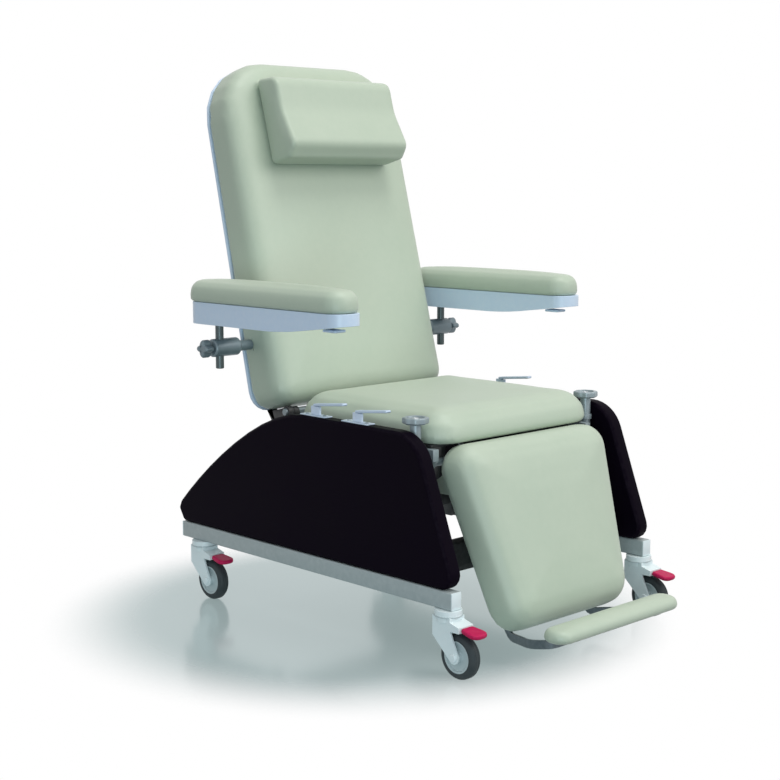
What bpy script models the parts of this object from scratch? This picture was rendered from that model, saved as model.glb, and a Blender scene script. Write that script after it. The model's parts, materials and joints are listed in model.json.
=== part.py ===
"""Dialysis chair: wheeled base, seat, reclining back, lifting leg rest, swing arms and footrest.

Metres, +Z up. The origin is on the floor under the middle of the chair's box. The patient faces -Y, so -X is
the patient's right. Distances along the base are measured back from the front ends of the rails.
"""

import math

import bmesh
import bpy
from mathutils import Matrix, Vector

# Fits shared by every piece
GAP = 0.0003
PIVOT_PLAY = 0.0003
SIDES = {"right": -1, "left": 1}

# How finely the soft pieces are drawn
ROLL_ANGLES = [math.radians(angle) for angle in (0, 30, 60, 90)]
CROWN_SHARES = (0.20, 0.50, 0.80)
CROWN_POWER = 3
LONG_STRAIGHT = 0.060

# Rails and cross beams
RAIL_FRONT_Y = -0.390
RAIL_LENGTH = 0.959
RAIL_OUTER_X = 0.353
RAIL_WIDTH = 0.0305
RAIL_HEIGHT = 0.0395
RAIL_BOTTOM = 0.1478
RAIL_EDGE = 0.002
BEAM_DEPTH = 0.040
BEAM_HEIGHT = 0.064
BEAM_FOOT_WIDTH = 0.026
BEAM_FOOT_DROP = 0.034
FRONT_BEAM_FROM = 0.115
REAR_BEAM_FROM = 0.620

# Casters
CASTER_FRONT_FROM = 0.022
CASTER_REAR_FROM = 0.889
CASTER_TRAIL = 0.037
WHEEL_RADIUS = 0.050
WHEEL_WIDTH = 0.030
WHEEL_SIDES = 20
TYRE_THICKNESS = 0.013
TYRE_SHOULDER = 0.006
HUB_RECESS = 0.004
HUB_BOSS_RADIUS = 0.014
CASTER_AXLE_RADIUS = 0.006
AXLE_CAP_PROUD = 0.002
AXLE_CAP_RIM = 0.003
HEAD_RADIUS = 0.031
HEAD_HEIGHT = 0.013
NECK_RADIUS = 0.028
NECK_DROP = 0.012
FORK_WIDTH = 0.046
FORK_SLOT = 0.036
FORK_NECK_DEPTH = 0.026
FORK_NECK_BOTTOM = 0.090
FORK_EYE_RADIUS = 0.014
FORK_CROWN = 0.0045
HOOD_LIFT = 0.006
HOOD_REACH = 0.052
HOOD_THICKNESS = 0.020
HOOD_NOSE = 0.013
PEDAL_LENGTH = 0.046
PEDAL_WIDTH = 0.052
PEDAL_ROOT_WIDTH = 0.036
PEDAL_THICKNESS = 0.011
PEDAL_CORNER = 0.016
PEDAL_EDGE = 0.004
PEDAL_HEEL = 0.003
PEDAL_HEEL_CORNER = 0.006
PEDAL_SWING_PLAY = 0.0006
PEDAL_SLOPE = math.radians(9)

# Side frames and seat
SIDE_FRAME_X = 0.240
SIDE_FRAME_THICKNESS = 0.017
SIDE_FRAME_FRONT_FROM = 0.185
SIDE_FRAME_TOP = 0.470
SIDE_FRAME_BAR = 0.034
SIDE_FRAME_LEG = 0.032
SEAT_BOARD_CLEARANCE = 0.0189
SEAT_BOARD_THICKNESS = 0.0077
SEAT_BOARD_FRONT_FROM = 0.150
SEAT_FRONT_FROM = 0.110
SEAT_REAR_FROM = 0.615
SEAT_HALF_WIDTH = 0.275
SEAT_THICKNESS = 0.078
SEAT_EDGE = 0.060
SEAT_CORNER = 0.072
SEAT_CROWN = 0.006
SEAT_DRAW_IN = 0.012

# Side panels
PANEL_THICKNESS = 0.040
PANEL_TOP = 0.5165
PANEL_EDGE = 0.008
PANEL_NOSE_FROM = -0.009
PANEL_SHOULDER_FROM = 0.113
PANEL_NOSE_RADIUS = 0.032
PANEL_SHOULDER_RADIUS = 0.090
PANEL_CREST_FROM = 0.490
PANEL_TAIL_FROM = 0.969
PANEL_TAIL_Z = 0.240
PANEL_CREST_LEAD = 0.150
PANEL_TAIL_LEAD = 0.107
PANEL_SWEEP_STEPS = 10
PANEL_TIP_REACH = 0.009
PANEL_TIP_DROP = 0.020
PANEL_TIP_RADIUS = 0.010
PANEL_HEEL_FROM = 0.958
PANEL_HEEL_RADIUS = 0.014

# Accessory posts and clamp knobs
POST_COLLAR_RADIUS = 0.0159
POST_FROM = 0.1644
POST_RADIUS = 0.0125
POST_BOTTOM = 0.400
POST_COLLAR_HEIGHT = 0.012
POST_COLLAR_ZS = (0.402, 0.474)
KNOB_BOTTOM = 0.528
KNOB_HEIGHT = 0.015
KNOB_RADIUS = 0.030
KNOB_RECESS_RADIUS = 0.020
KNOB_RECESS = 0.005
KNOB_LOBES = 8
KNOB_LOBE_DEPTH = 0.0012

# Release levers: side and distance of each base
LEVER_PLACES = {"right_front": (-1, 0.312), "right_rear": (-1, 0.455), "left": (1, 0.477)}
LEVER_X = 0.333
LEVER_PLATE_LENGTH = 0.088
LEVER_PLATE_WIDTH = 0.024
LEVER_PLATE_THICKNESS = 0.003
LEVER_TAB_LENGTH = 0.030
LEVER_TAB_HEIGHT = 0.020
LEVER_TAB_THICKNESS = 0.006
LEVER_LENGTH = 0.098
LEVER_WIDTH = 0.016
LEVER_THICKNESS = 0.006
LEVER_EDGE = 0.0015
LEVER_RISE = math.radians(6)

# Backrest, in its own tilted frame at the pivot
BACK_PIVOT_FROM = 0.655
BACK_PIVOT_Z = 0.495
BACK_AXLE_RADIUS = 0.009
BACK_EAR_RADIUS = 0.014
BACK_AXLE_OVERHANG = 0.005
BACK_TILT = math.radians(14)
BACK_HALF_WIDTH = 0.290
BACK_BOTTOM = 0.015
BACK_TOP = 0.886
BACK_FRONT = -0.036
BACK_REAR = 0.084
BACK_CROWN = 0.010
BACK_EDGE = 0.045
BACK_TOP_CORNER = 0.145
BACK_BOTTOM_CORNER = 0.050
BACK_DRAW_IN = 0.008
BACK_SHELL_THICKNESS = 0.010
BACK_SHELL_EDGE = 0.004
BACK_TAPER = 0.30
BACK_TAPER_AXIS = 0.034
BACK_ARM_X = 0.222
BACK_ARM_THICKNESS = 0.016
BACK_ARM_DEPTH = 0.024
BACK_ARM_LENGTH = 0.320
BACK_ARM_TOP = 0.012
BACK_ARM_BOTTOM = -0.015
BACK_ARM_HEEL = 0.070
RECLINE_LUG_RADIUS = 0.060
RECLINE_LUG_ANGLE = math.radians(-32)
LUG_EYE_RADIUS = 0.013

# Headrest, in the backrest's frame
HEADREST_HALF_WIDTH = 0.200
HEADREST_DROP = 0.054
HEADREST_HEIGHT = 0.219
HEADREST_TOP_DEPTH = 0.074
HEADREST_WAIST_DEPTH = 0.074
HEADREST_RIDGE_DEPTH = 0.099
HEADREST_RIDGE_RISE = 0.030
HEADREST_TOP_FALL = 0.012
HEADREST_TOP_RADIUS = 0.026
HEADREST_WAIST_RADIUS = 0.120
HEADREST_RIDGE_RADIUS = 0.024
HEADREST_FOOT_DEPTH = 0.070
HEADREST_EDGE = 0.011
HEADREST_CROWN = 0.003
HEADREST_BED = 0.90

# Arms, around the post's axis, with heights from the floor
ARM_POST_X = 0.385
ARM_POST_SETBACK = 0.0945
ARM_POST_RADIUS = 0.010
ARM_POST_DROP = 0.051
CLAMP_Z = 0.657
CLAMP_RADIUS = 0.022
CLAMP_INNER_X = 0.328
CLAMP_OUTER_X = 0.410
CLAMP_CHAMFER = 0.007
CLAMP_NECK_RADIUS = 0.013
STAR_HUB_LENGTH = 0.005
STAR_HUB_RADIUS = 0.009
STAR_LENGTH = 0.026
STAR_RADIUS = 0.0185
STAR_LOBES = 4
STAR_LOBE_DEPTH = 0.0045
STAR_EDGE = 0.003
ARM_INSET_X = 0.003
ARM_REACH = 0.4755
ARM_REAR_LENGTH = 0.0785
ARM_SHELL_BOTTOM = 0.715
ARM_SHELL_HEIGHT = 0.053
ARM_SHELL_RISE = 0.026
ARM_SHELL_WIDTH = 0.086
ARM_SHELL_SLOPE_LENGTH = 0.200
ARM_SHELL_RAKE = 0.016
ARM_SHELL_BEND = 1.2
ARM_CORNER = 0.040
ARM_PAD_OVERHANG = 0.005
ARM_PAD_FRONT_INSET = 0.006
ARM_PAD_THICKNESS = 0.056
ARM_PAD_EDGE = 0.030
ARM_PAD_CROWN = 0.004
ARM_PAD_DRAW_IN = 0.006
PADDLE_LENGTH = 0.042
PADDLE_WIDTH = 0.034
PADDLE_THICKNESS = 0.006
PADDLE_SETBACK = 0.041
PADDLE_EDGE = 0.0015

# Leg rest, in its own tilted frame at the pivot
LEG_PIVOT_FROM = 0.155
LEG_PIVOT_Z = 0.436
LEG_SHAFT_RADIUS = 0.009
LEG_TILT = math.radians(19)
LEG_TOP = 0.0254
LEG_BOTTOM = -0.405
LEG_TOP_HALF_WIDTH = 0.262
LEG_BOTTOM_HALF_WIDTH = 0.204
LEG_TOP_CORNER = 0.058
LEG_BOTTOM_CORNER = 0.066
LEG_FRONT = -0.106
LEG_REAR = -0.018
LEG_CROWN = 0.008
LEG_EDGE = 0.052
LEG_DRAW_IN = 0.008
LEG_BOARD_THICKNESS = 0.008
LEG_BOARD_INSET = 0.013
LEG_LUG_X = 0.150
LEG_LUG_THICKNESS = 0.012
LEG_LUG_RADIUS = 0.015
SLIDER_THICKNESS = 0.0175
SLIDER_FRONT = -0.024
SLIDER_REAR = 0.165
SLIDER_HEIGHT = 0.026
SLIDER_EAR_RADIUS = 0.015

# Footrest: a strap each side, from behind the leg board to under the pad
STRAP_TOP_X = 0.140
STRAP_X = 0.186
STRAP_THICKNESS = 0.006
STRAP_HEIGHT = 0.020
STRAP_TOP = -0.240
STRAP_BEND_DROP = 0.023
STRAP_LOW_FROM = -0.079
STRAP_LOW_Z = 0.057
STRAP_FRONT_FROM = -0.142
STRAP_FRONT_Z = 0.071
STRAP_END_X = 0.042
STRAP_BEND_RADIUS = 0.022
FOOT_HALF_LENGTH = 0.216
FOOT_FRONT_FROM = -0.196
FOOT_DEPTH = 0.070
FOOT_THICKNESS = 0.033
FOOT_CORNER = 0.032
FOOT_EDGE = 0.018
FOOT_CROWN = 0.003
FOOT_DRAW_IN = 0.008

# Gas springs under the seat
SPRING_EYE_THICKNESS = 0.012
SPRING_EYE_RADIUS = 0.012
SPRING_LUG_REACH = 0.023
SPRING_LUG_Z = 0.228
SPRING_LUG_THICKNESS = 0.010
SPRING_PIN_RADIUS = 0.004
SPRING_RADIUS = 0.014
SPRING_BORE_PLAY = 0.0004
SPRING_ROD_RADIUS = 0.005
SPRING_NECK_LENGTH = 0.018
SPRING_BLIND_LENGTH = 0.050
RECLINE_SPRING_BODY_LENGTH = 0.330
RECLINE_SPRING_ROD_LENGTH = 0.320
LEG_SPRING_BODY_LENGTH = 0.290
LEG_SPRING_ROD_LENGTH = 0.330
LEG_LUG_BACK = 0.029
LEG_LUG_DROP = -0.0535

# Levels and faces that follow from the sizes above
RAIL_TOP = RAIL_BOTTOM + RAIL_HEIGHT
RAIL_INNER_X = RAIL_OUTER_X - RAIL_WIDTH
CASTER_X = RAIL_OUTER_X - RAIL_WIDTH / 2
BEAM_BOTTOM = RAIL_TOP + GAP
BEAM_TOP = BEAM_BOTTOM + BEAM_HEIGHT
PANEL_INNER_X = RAIL_OUTER_X - PANEL_THICKNESS
PANEL_BOTTOM = RAIL_TOP + GAP
POST_X = PANEL_INNER_X - GAP - POST_COLLAR_RADIUS
SEAT_BOARD_HALF_WIDTH = POST_X - POST_COLLAR_RADIUS - SEAT_BOARD_CLEARANCE
SEAT_BOARD_BOTTOM = SIDE_FRAME_TOP + GAP
SEAT_BOTTOM = SEAT_BOARD_BOTTOM + SEAT_BOARD_THICKNESS + GAP
BACK_SHELL_FRONT = BACK_REAR + GAP
BACK_SHELL_REAR = BACK_SHELL_FRONT + BACK_SHELL_THICKNESS
ARM_POST_FROM = BACK_PIVOT_FROM + ARM_POST_SETBACK
ARM_FRONT_FROM = ARM_POST_FROM - ARM_REACH
ARM_REAR_FROM = ARM_POST_FROM + ARM_REAR_LENGTH
ARM_SHELL_TOP = ARM_SHELL_BOTTOM + ARM_SHELL_HEIGHT
ARM_SHELL_FRONT_BOTTOM = ARM_SHELL_BOTTOM + ARM_SHELL_RISE
ARM_SHELL_SLOPE_FROM = ARM_FRONT_FROM + ARM_SHELL_SLOPE_LENGTH
ARM_POST_BOTTOM = CLAMP_Z - ARM_POST_DROP
PADDLE_FRONT_FROM = ARM_FRONT_FROM + PADDLE_SETBACK
LEG_BOARD_FRONT = LEG_REAR + GAP
LEG_BOARD_REAR = LEG_BOARD_FRONT + LEG_BOARD_THICKNESS
STRAP_BEND = LEG_BOTTOM + LEG_BOARD_INSET - STRAP_BEND_DROP
FOOT_BOTTOM = STRAP_FRONT_Z + STRAP_HEIGHT / 2 + GAP
SPRING_X = BACK_ARM_X - GAP - SPRING_EYE_THICKNESS / 2
BACK_PIVOT = Vector((0.0, RAIL_FRONT_Y + BACK_PIVOT_FROM, BACK_PIVOT_Z))
LEG_PIVOT = Vector((0.0, RAIL_FRONT_Y + LEG_PIVOT_FROM, LEG_PIVOT_Z))

# Finishes: colour, roughness, metallic
FINISHES = {
    "vinyl": ((0.47, 0.55, 0.45), 0.45, 0.0),
    "white_plastic": ((0.75, 0.78, 0.80), 0.35, 0.0),
    "dark_panel": ((0.010, 0.006, 0.010), 0.35, 0.0),
    "painted_rail": ((0.70, 0.74, 0.74), 0.40, 0.3),
    "dark_frame": ((0.020, 0.020, 0.022), 0.50, 0.2),
    "steel": ((0.55, 0.57, 0.58), 0.30, 0.9),
    "caster_plastic": ((0.62, 0.70, 0.72), 0.40, 0.0),
    "tyre": ((0.030, 0.040, 0.045), 0.60, 0.0),
    "pedal_red": ((0.55, 0.02, 0.09), 0.35, 0.0),
    "strap_grey": ((0.06, 0.08, 0.10), 0.40, 0.4),
    "clamp_grey": ((0.40, 0.44, 0.46), 0.40, 0.4),
}


def along(distance):
    """Y of a distance measured back from the rails' front ends."""
    return RAIL_FRONT_Y + distance


def finish(name):
    """Material of a named finish, made on first use."""
    found = bpy.data.materials.get(name)
    if found:
        return found
    colour, roughness, metallic = FINISHES[name]
    made = bpy.data.materials.new(name)
    made.use_nodes = True
    shader = made.node_tree.nodes["Principled BSDF"]
    shader.inputs["Base Color"].default_value = (*colour, 1.0)
    shader.inputs["Roughness"].default_value = roughness
    shader.inputs["Metallic"].default_value = metallic
    made.diffuse_color = (*colour, 1.0)
    return made


def mesh_of(solid):
    """Mesh made from a bmesh, which is freed; a mesh is passed on."""
    if isinstance(solid, bpy.types.Mesh):
        return solid
    mesh = bpy.data.meshes.new("solid")
    bmesh.ops.recalc_face_normals(solid, faces=solid.faces)
    solid.to_mesh(mesh)
    solid.free()
    return mesh


def add(name, solid, finish_name, at=(0.0, 0.0, 0.0), tilt=0.0):
    """Named piece with its origin on its joint; its solid is drawn from there, before the tilt about X."""
    mesh = mesh_of(solid)
    mesh.name = name
    mesh.materials.clear()
    mesh.materials.append(finish(finish_name))
    mesh.shade_smooth()
    mesh.set_sharp_from_angle(angle=math.radians(35))
    piece = bpy.data.objects.new(name, mesh)
    piece.location = at
    piece.rotation_euler = (tilt, 0.0, 0.0)
    bpy.context.scene.collection.objects.link(piece)
    return piece


def combined(base, *steps):
    """Mesh of a solid after Boolean joins and cuts, each step an operation and a solid."""
    helpers = [bpy.data.objects.new("body", mesh_of(base))]
    for operation, solid in steps:
        tool = bpy.data.objects.new("tool", mesh_of(solid))
        helpers.append(tool)
        boolean = helpers[0].modifiers.new(operation, "BOOLEAN")
        boolean.operation = operation
        boolean.object = tool
    for helper in helpers:
        bpy.context.scene.collection.objects.link(helper)
    graph = bpy.context.evaluated_depsgraph_get()
    mesh = bpy.data.meshes.new_from_object(helpers[0].evaluated_get(graph))
    for helper in helpers:
        bpy.data.objects.remove(helper)
    return mesh


def prism(outline, axis, low, high):
    """Solid between two planes across an axis, from (y, z), (x, z) or (x, y) points for X, Y or Z."""
    number = "XYZ".index(axis)
    solid = bmesh.new()
    corners = []
    for first, second in outline:
        place = [first, second]
        place.insert(number, low)
        corners.append(solid.verts.new(place))
    face = solid.faces.new(corners)
    grown = bmesh.ops.extrude_face_region(solid, geom=[face])["geom"]
    step = Vector((0.0, 0.0, 0.0))
    step[number] = high - low
    moved = [part for part in grown if isinstance(part, bmesh.types.BMVert)]
    bmesh.ops.translate(solid, vec=step, verts=moved)
    bmesh.ops.recalc_face_normals(solid, faces=solid.faces)
    return solid


def block(low, high, edge=0.0):
    """Box between two corners, with its edges eased."""
    outline = [(low[0], low[1]), (high[0], low[1]), (high[0], high[1]), (low[0], high[1])]
    solid = prism(outline, "Z", low[2], high[2])
    if edge:
        soften(solid, edge, 1)
    return solid


def soften(solid, width, segments, least=50):
    """Bevels the edges that turn by more than a least angle in degrees."""
    edges = [edge for edge in solid.edges if edge.calc_face_angle(0.0) > math.radians(least)]
    bmesh.ops.bevel(solid, geom=edges, offset=width, segments=segments, profile=0.5, affect="EDGES")
    return solid


def turned(profile, axis, sides, centre=(0.0, 0.0, 0.0), closed=False, phase=0.0):
    """Solid of revolution about X or Z through a centre, from (radius, distance) points along the axis."""
    solid = bmesh.new()
    rings = []
    for radius, distance in profile:
        ring = []
        for number in range(sides if radius else 1):
            angle = phase + math.tau * number / sides
            across = (radius * math.cos(angle), radius * math.sin(angle))
            place = (distance, *across) if axis == "X" else (*across, distance)
            ring.append(solid.verts.new(Vector(centre) + Vector(place)))
        rings.append(ring)
    pairs = list(zip(rings, rings[1:] + rings[:1])) if closed else list(zip(rings, rings[1:]))
    for first, second in pairs:
        bridge(solid, first, second)
    if not closed:
        for ring in (rings[0], rings[-1]):
            if len(ring) > 1:
                solid.faces.new(ring)
    bmesh.ops.recalc_face_normals(solid, faces=solid.faces)
    return solid


def bridge(solid, first, second):
    """Faces between two rings of points, either of which may be one point."""
    count = max(len(first), len(second))
    for number in range(count):
        after = (number + 1) % count
        corners = [first[number % len(first)], first[after % len(first)]]
        corners += [second[after % len(second)], second[number % len(second)]]
        solid.faces.new(list(dict.fromkeys(corners)))


def rod(axis, radius, low, high, sides=16, centre=(0.0, 0.0, 0.0)):
    """Plain cylinder along X or Z."""
    return turned([(radius, low), (radius, high)], axis, sides, centre)


def arc(centre, radius, start, end, steps):
    """Points of an arc, angles in degrees from the first axis towards the second."""
    points = []
    for number in range(steps + 1):
        angle = math.radians(start + (end - start) * number / steps)
        points.append((centre[0] + radius * math.cos(angle), centre[1] + radius * math.sin(angle)))
    return points


def corner_arc(before, here, after, radius, steps=5):
    """Points of the arc that turns the corner from one point past another to a third."""
    here = Vector(here)
    back = (Vector(before) - here).normalized()
    ahead = (Vector(after) - here).normalized()
    half = back.angle(ahead) / 2
    reach = radius / math.tan(half)
    centre = here + (back + ahead).normalized() * (radius / math.sin(half))
    start = here + back * reach - centre
    turn = (here + ahead * reach - centre).angle_signed(start)
    return [centre + Matrix.Rotation(turn * step / steps, 2) @ start for step in range(steps + 1)]


def rounded(corners, steps=5, cuts=0):
    """Outline through (a, b, radius) corners, each turned by an arc, its straights cut into equal pieces."""
    points = []
    for number, (first, second, radius) in enumerate(corners):
        after = corners[(number + 1) % len(corners)]
        points += corner_arc(corners[number - 1][:2], (first, second), after[:2], radius, steps)
    outline = []
    for first, second in zip(points, points[1:] + points[:1]):
        outline.append(tuple(first))
        pieces = cuts if (second - first).length > LONG_STRAIGHT else 0
        outline += [tuple(first.lerp(second, (cut + 1) / (pieces + 1))) for cut in range(pieces)]
    return outline


def drawn_in(outline, distance):
    """Outline moved inwards along each point's own normal; the outline runs anticlockwise."""
    moved = []
    count = len(outline)
    for number, here in enumerate(outline):
        run = Vector(outline[(number + 1) % count]) - Vector(outline[number - 1])
        normal = Vector((-run.y, run.x)).normalized()
        moved.append(tuple(Vector(here) + normal * distance))
    return moved


def cushion(outline, low, high, edge, crown, draw_in, place, both=False):
    """Padded solid from low to high: drawn-in base, rolled edges and a crowned face, or two of them.

    The place function turns a point of the outline and a height into a point of the solid.
    """
    middle = sum((Vector(point) for point in outline), Vector((0.0, 0.0))) / len(outline)
    rim = high - crown
    roll = [(edge * (1 - math.cos(angle)), edge * math.sin(angle)) for angle in ROLL_ANGLES]
    face = [(drawn_in(outline, inset), rim - edge + rise) for inset, rise in roll]
    last = drawn_in(outline, edge)
    for share in CROWN_SHARES:
        ring = [tuple(middle + (Vector(point) - middle) * (1 - share)) for point in last]
        face.append((ring, rim + crown * (1 - (1 - share) ** CROWN_POWER)))
    if both:
        levels = [(ring, low + high - height) for ring, height in reversed(face)] + face
    else:
        levels = [(drawn_in(outline, draw_in), low), (outline, low + draw_in)] + face
    solid = bmesh.new()
    rings = []
    for ring, height in levels:
        rings.append([solid.verts.new(place(first, second, height)) for first, second in ring])
    for first, second in zip(rings, rings[1:]):
        bridge(solid, first, second)
    for ring in (rings[0], rings[-1]):
        solid.faces.new(ring)
    bmesh.ops.recalc_face_normals(solid, faces=solid.faces)
    return solid


def level_place(across, along_it, height):
    """Point of a cushion that lies flat."""
    return across, along_it, height


def front_place(across, height, out):
    """Point of a cushion that faces -Y."""
    return across, -out, height


def side_place(depth, height, across):
    """Point of a cushion drawn in side view."""
    return across, depth, height


def mirrored(half):
    """Closed outline from the points of its +X half, first to last."""
    return half + [(-across, height) for across, height in reversed(half)]


def span(sign, inner, outer):
    """The low and high X of a piece on one side."""
    return tuple(sorted((sign * inner, sign * outer)))


def build_rails():
    """Straight tube along each side of the base."""
    for side, sign in SIDES.items():
        low_x, high_x = span(sign, RAIL_INNER_X, RAIL_OUTER_X)
        low = (low_x, RAIL_FRONT_Y, RAIL_BOTTOM)
        high = (high_x, RAIL_FRONT_Y + RAIL_LENGTH, RAIL_TOP)
        add(f"rail_{side}", block(low, high, RAIL_EDGE), "painted_rail")


def spring_foot(front):
    """The gas spring's pivot on a cross beam, behind the front beam or ahead of the rear one."""
    if front:
        return Vector((SPRING_X, along(FRONT_BEAM_FROM) + BEAM_DEPTH + SPRING_LUG_REACH, SPRING_LUG_Z))
    return Vector((-SPRING_X, along(REAR_BEAM_FROM) - SPRING_LUG_REACH, SPRING_LUG_Z))


def build_cross_beams():
    """Beams between the rails, with feet against their inner faces and a lug for a gas spring."""
    foot_outer = RAIL_INNER_X - GAP
    foot_inner = foot_outer - BEAM_FOOT_WIDTH
    foot_bottom = RAIL_TOP - BEAM_FOOT_DROP
    end = PANEL_INNER_X - GAP
    half = [(end, BEAM_TOP), (end, RAIL_TOP), (foot_outer, RAIL_TOP), (foot_outer, foot_bottom)]
    half += [(foot_inner, foot_bottom), (foot_inner, BEAM_BOTTOM)]
    for place, start, sign in (("front", FRONT_BEAM_FROM, 1), ("rear", REAR_BEAM_FROM, -1)):
        near, far = along(start), along(start) + BEAM_DEPTH
        pivot = spring_foot(place == "front")
        low_x, high_x = span(sign, BACK_ARM_X, BACK_ARM_X + SPRING_LUG_THICKNESS)
        low_y, high_y = sorted((pivot.y + sign * LUG_EYE_RADIUS, (near + far) / 2))
        low = (low_x, low_y, pivot.z - LUG_EYE_RADIUS)
        lug = block(low, (high_x, high_y, pivot.z + LUG_EYE_RADIUS))
        centre = (0.0, pivot.y, pivot.z)
        hole = rod("X", SPRING_PIN_RADIUS + PIVOT_PLAY, low_x - GAP, high_x + GAP, 12, centre)
        beam = combined(prism(mirrored(half), "Y", near, far), ("UNION", lug), ("DIFFERENCE", hole))
        add(f"cross_beam_{place}", beam, "dark_frame")


def build_side_frames():
    """Plate each side from the beams to the seat, with an ear for the backrest's axle."""
    base = BEAM_TOP + GAP
    under = SIDE_FRAME_TOP - SIDE_FRAME_BAR
    front = along(SIDE_FRAME_FRONT_FROM)
    front_foot = along(FRONT_BEAM_FROM)
    rear_foot = along(REAR_BEAM_FROM)
    pivot = (BACK_PIVOT.y, BACK_PIVOT.z)
    outline = [(front_foot, base), (front_foot + SIDE_FRAME_LEG, base), (front + SIDE_FRAME_LEG, under)]
    outline += [(rear_foot - SIDE_FRAME_LEG, under), (rear_foot, base), (rear_foot + SIDE_FRAME_LEG, base)]
    outline += arc(pivot, BACK_EAR_RADIUS, 0, 180, 8)
    outline += [(pivot[0] - BACK_EAR_RADIUS, SIDE_FRAME_TOP), (front, SIDE_FRAME_TOP), (front, under)]
    for side, sign in SIDES.items():
        low_x, high_x = span(sign, SIDE_FRAME_X, SIDE_FRAME_X + SIDE_FRAME_THICKNESS)
        radius = BACK_AXLE_RADIUS + PIVOT_PLAY
        hole = rod("X", radius, low_x - GAP, high_x + GAP, 16, (0.0, *pivot))
        plate = combined(prism(outline, "X", low_x, high_x), ("DIFFERENCE", hole))
        add(f"side_frame_{side}", plate, "dark_frame")
    reach = SIDE_FRAME_X + SIDE_FRAME_THICKNESS + BACK_AXLE_OVERHANG
    add("back_axle", rod("X", BACK_AXLE_RADIUS, -reach, reach), "steel", BACK_PIVOT)


def build_seat():
    """Board on the side frames and the padded seat on it."""
    low = (-SEAT_BOARD_HALF_WIDTH, along(SEAT_BOARD_FRONT_FROM), SEAT_BOARD_BOTTOM)
    high = (SEAT_BOARD_HALF_WIDTH, along(SEAT_REAR_FROM), SEAT_BOARD_BOTTOM + SEAT_BOARD_THICKNESS)
    add("seat_board", block(low, high), "dark_frame")
    front, rear = along(SEAT_FRONT_FROM), along(SEAT_REAR_FROM)
    half = SEAT_HALF_WIDTH
    corners = [(-half, front), (half, front), (half, rear), (-half, rear)]
    outline = rounded([(*corner, SEAT_CORNER) for corner in corners], cuts=3)
    top = SEAT_BOTTOM + SEAT_THICKNESS
    pad = cushion(outline, SEAT_BOTTOM, top, SEAT_EDGE, SEAT_CROWN, SEAT_DRAW_IN, level_place)
    add("seat_cushion", pad, "vinyl")


def panel_outline():
    """Side view of a panel: nose, shoulder, level crest and a tail that sweeps down to the rail."""
    nose = Vector((along(PANEL_NOSE_FROM), PANEL_BOTTOM))
    shoulder = Vector((along(PANEL_SHOULDER_FROM), PANEL_TOP))
    crest = Vector((along(PANEL_CREST_FROM), PANEL_TOP))
    tail = Vector((along(PANEL_TAIL_FROM), PANEL_TAIL_Z))
    heel = Vector((along(PANEL_HEEL_FROM), PANEL_BOTTOM))
    tip = tail + Vector((PANEL_TIP_REACH, -PANEL_TIP_DROP))
    crest_lead = crest + Vector((PANEL_CREST_LEAD, 0.0))
    tail_lead = tail + Vector((-PANEL_TAIL_LEAD, PANEL_TAIL_LEAD))
    points = corner_arc(heel, nose, shoulder, PANEL_NOSE_RADIUS)
    points += corner_arc(nose, shoulder, crest, PANEL_SHOULDER_RADIUS, 8)
    for number in range(PANEL_SWEEP_STEPS + 1):
        share = number / PANEL_SWEEP_STEPS
        first = crest.lerp(crest_lead, share).lerp(crest_lead.lerp(tail_lead, share), share)
        second = crest_lead.lerp(tail_lead, share).lerp(tail_lead.lerp(tail, share), share)
        points.append(first.lerp(second, share))
    points += corner_arc(tail, tip, heel, PANEL_TIP_RADIUS, 3)
    points += corner_arc(tip, heel, nose, PANEL_HEEL_RADIUS, 3)
    return [tuple(point) for point in points]


def build_panels():
    """Thick moulded panel standing on each rail."""
    for side, sign in SIDES.items():
        low_x, high_x = span(sign, PANEL_INNER_X, RAIL_OUTER_X)
        panel = soften(prism(panel_outline(), "X", low_x, high_x), PANEL_EDGE, 2)
        add(f"side_panel_{side}", panel, "dark_panel")


def lobed(radius, depth, lobes, steps):
    """Outline of a grip with lobes round its rim."""
    points = []
    for number in range(lobes * steps):
        angle = math.tau * number / (lobes * steps)
        reach = radius + depth * math.cos(lobes * angle)
        points.append((reach * math.cos(angle), reach * math.sin(angle)))
    return points


def build_accessory_posts():
    """Post held by two collars behind each panel, with a clamp knob on its top."""
    collar = POST_COLLAR_RADIUS
    profile = [(POST_RADIUS, POST_BOTTOM)]
    for height in POST_COLLAR_ZS:
        ends = (height, height + POST_COLLAR_HEIGHT)
        profile += [(POST_RADIUS, ends[0]), (collar, ends[0]), (collar, ends[1]), (POST_RADIUS, ends[1])]
    profile.append((POST_RADIUS, KNOB_BOTTOM - GAP))
    for side, sign in SIDES.items():
        at = (sign * POST_X, along(POST_FROM), 0.0)
        add(f"accessory_post_{side}", turned(profile, "Z", 12), "clamp_grey", at)
        top = KNOB_BOTTOM + KNOB_HEIGHT
        outline = lobed(KNOB_RADIUS - KNOB_LOBE_DEPTH, KNOB_LOBE_DEPTH, KNOB_LOBES, 4)
        grip = prism(outline, "Z", KNOB_BOTTOM, top)
        recess = rod("Z", KNOB_RECESS_RADIUS, top - KNOB_RECESS, top + GAP)
        add(f"accessory_knob_{side}", combined(grip, ("DIFFERENCE", recess)), "clamp_grey", at)


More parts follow.
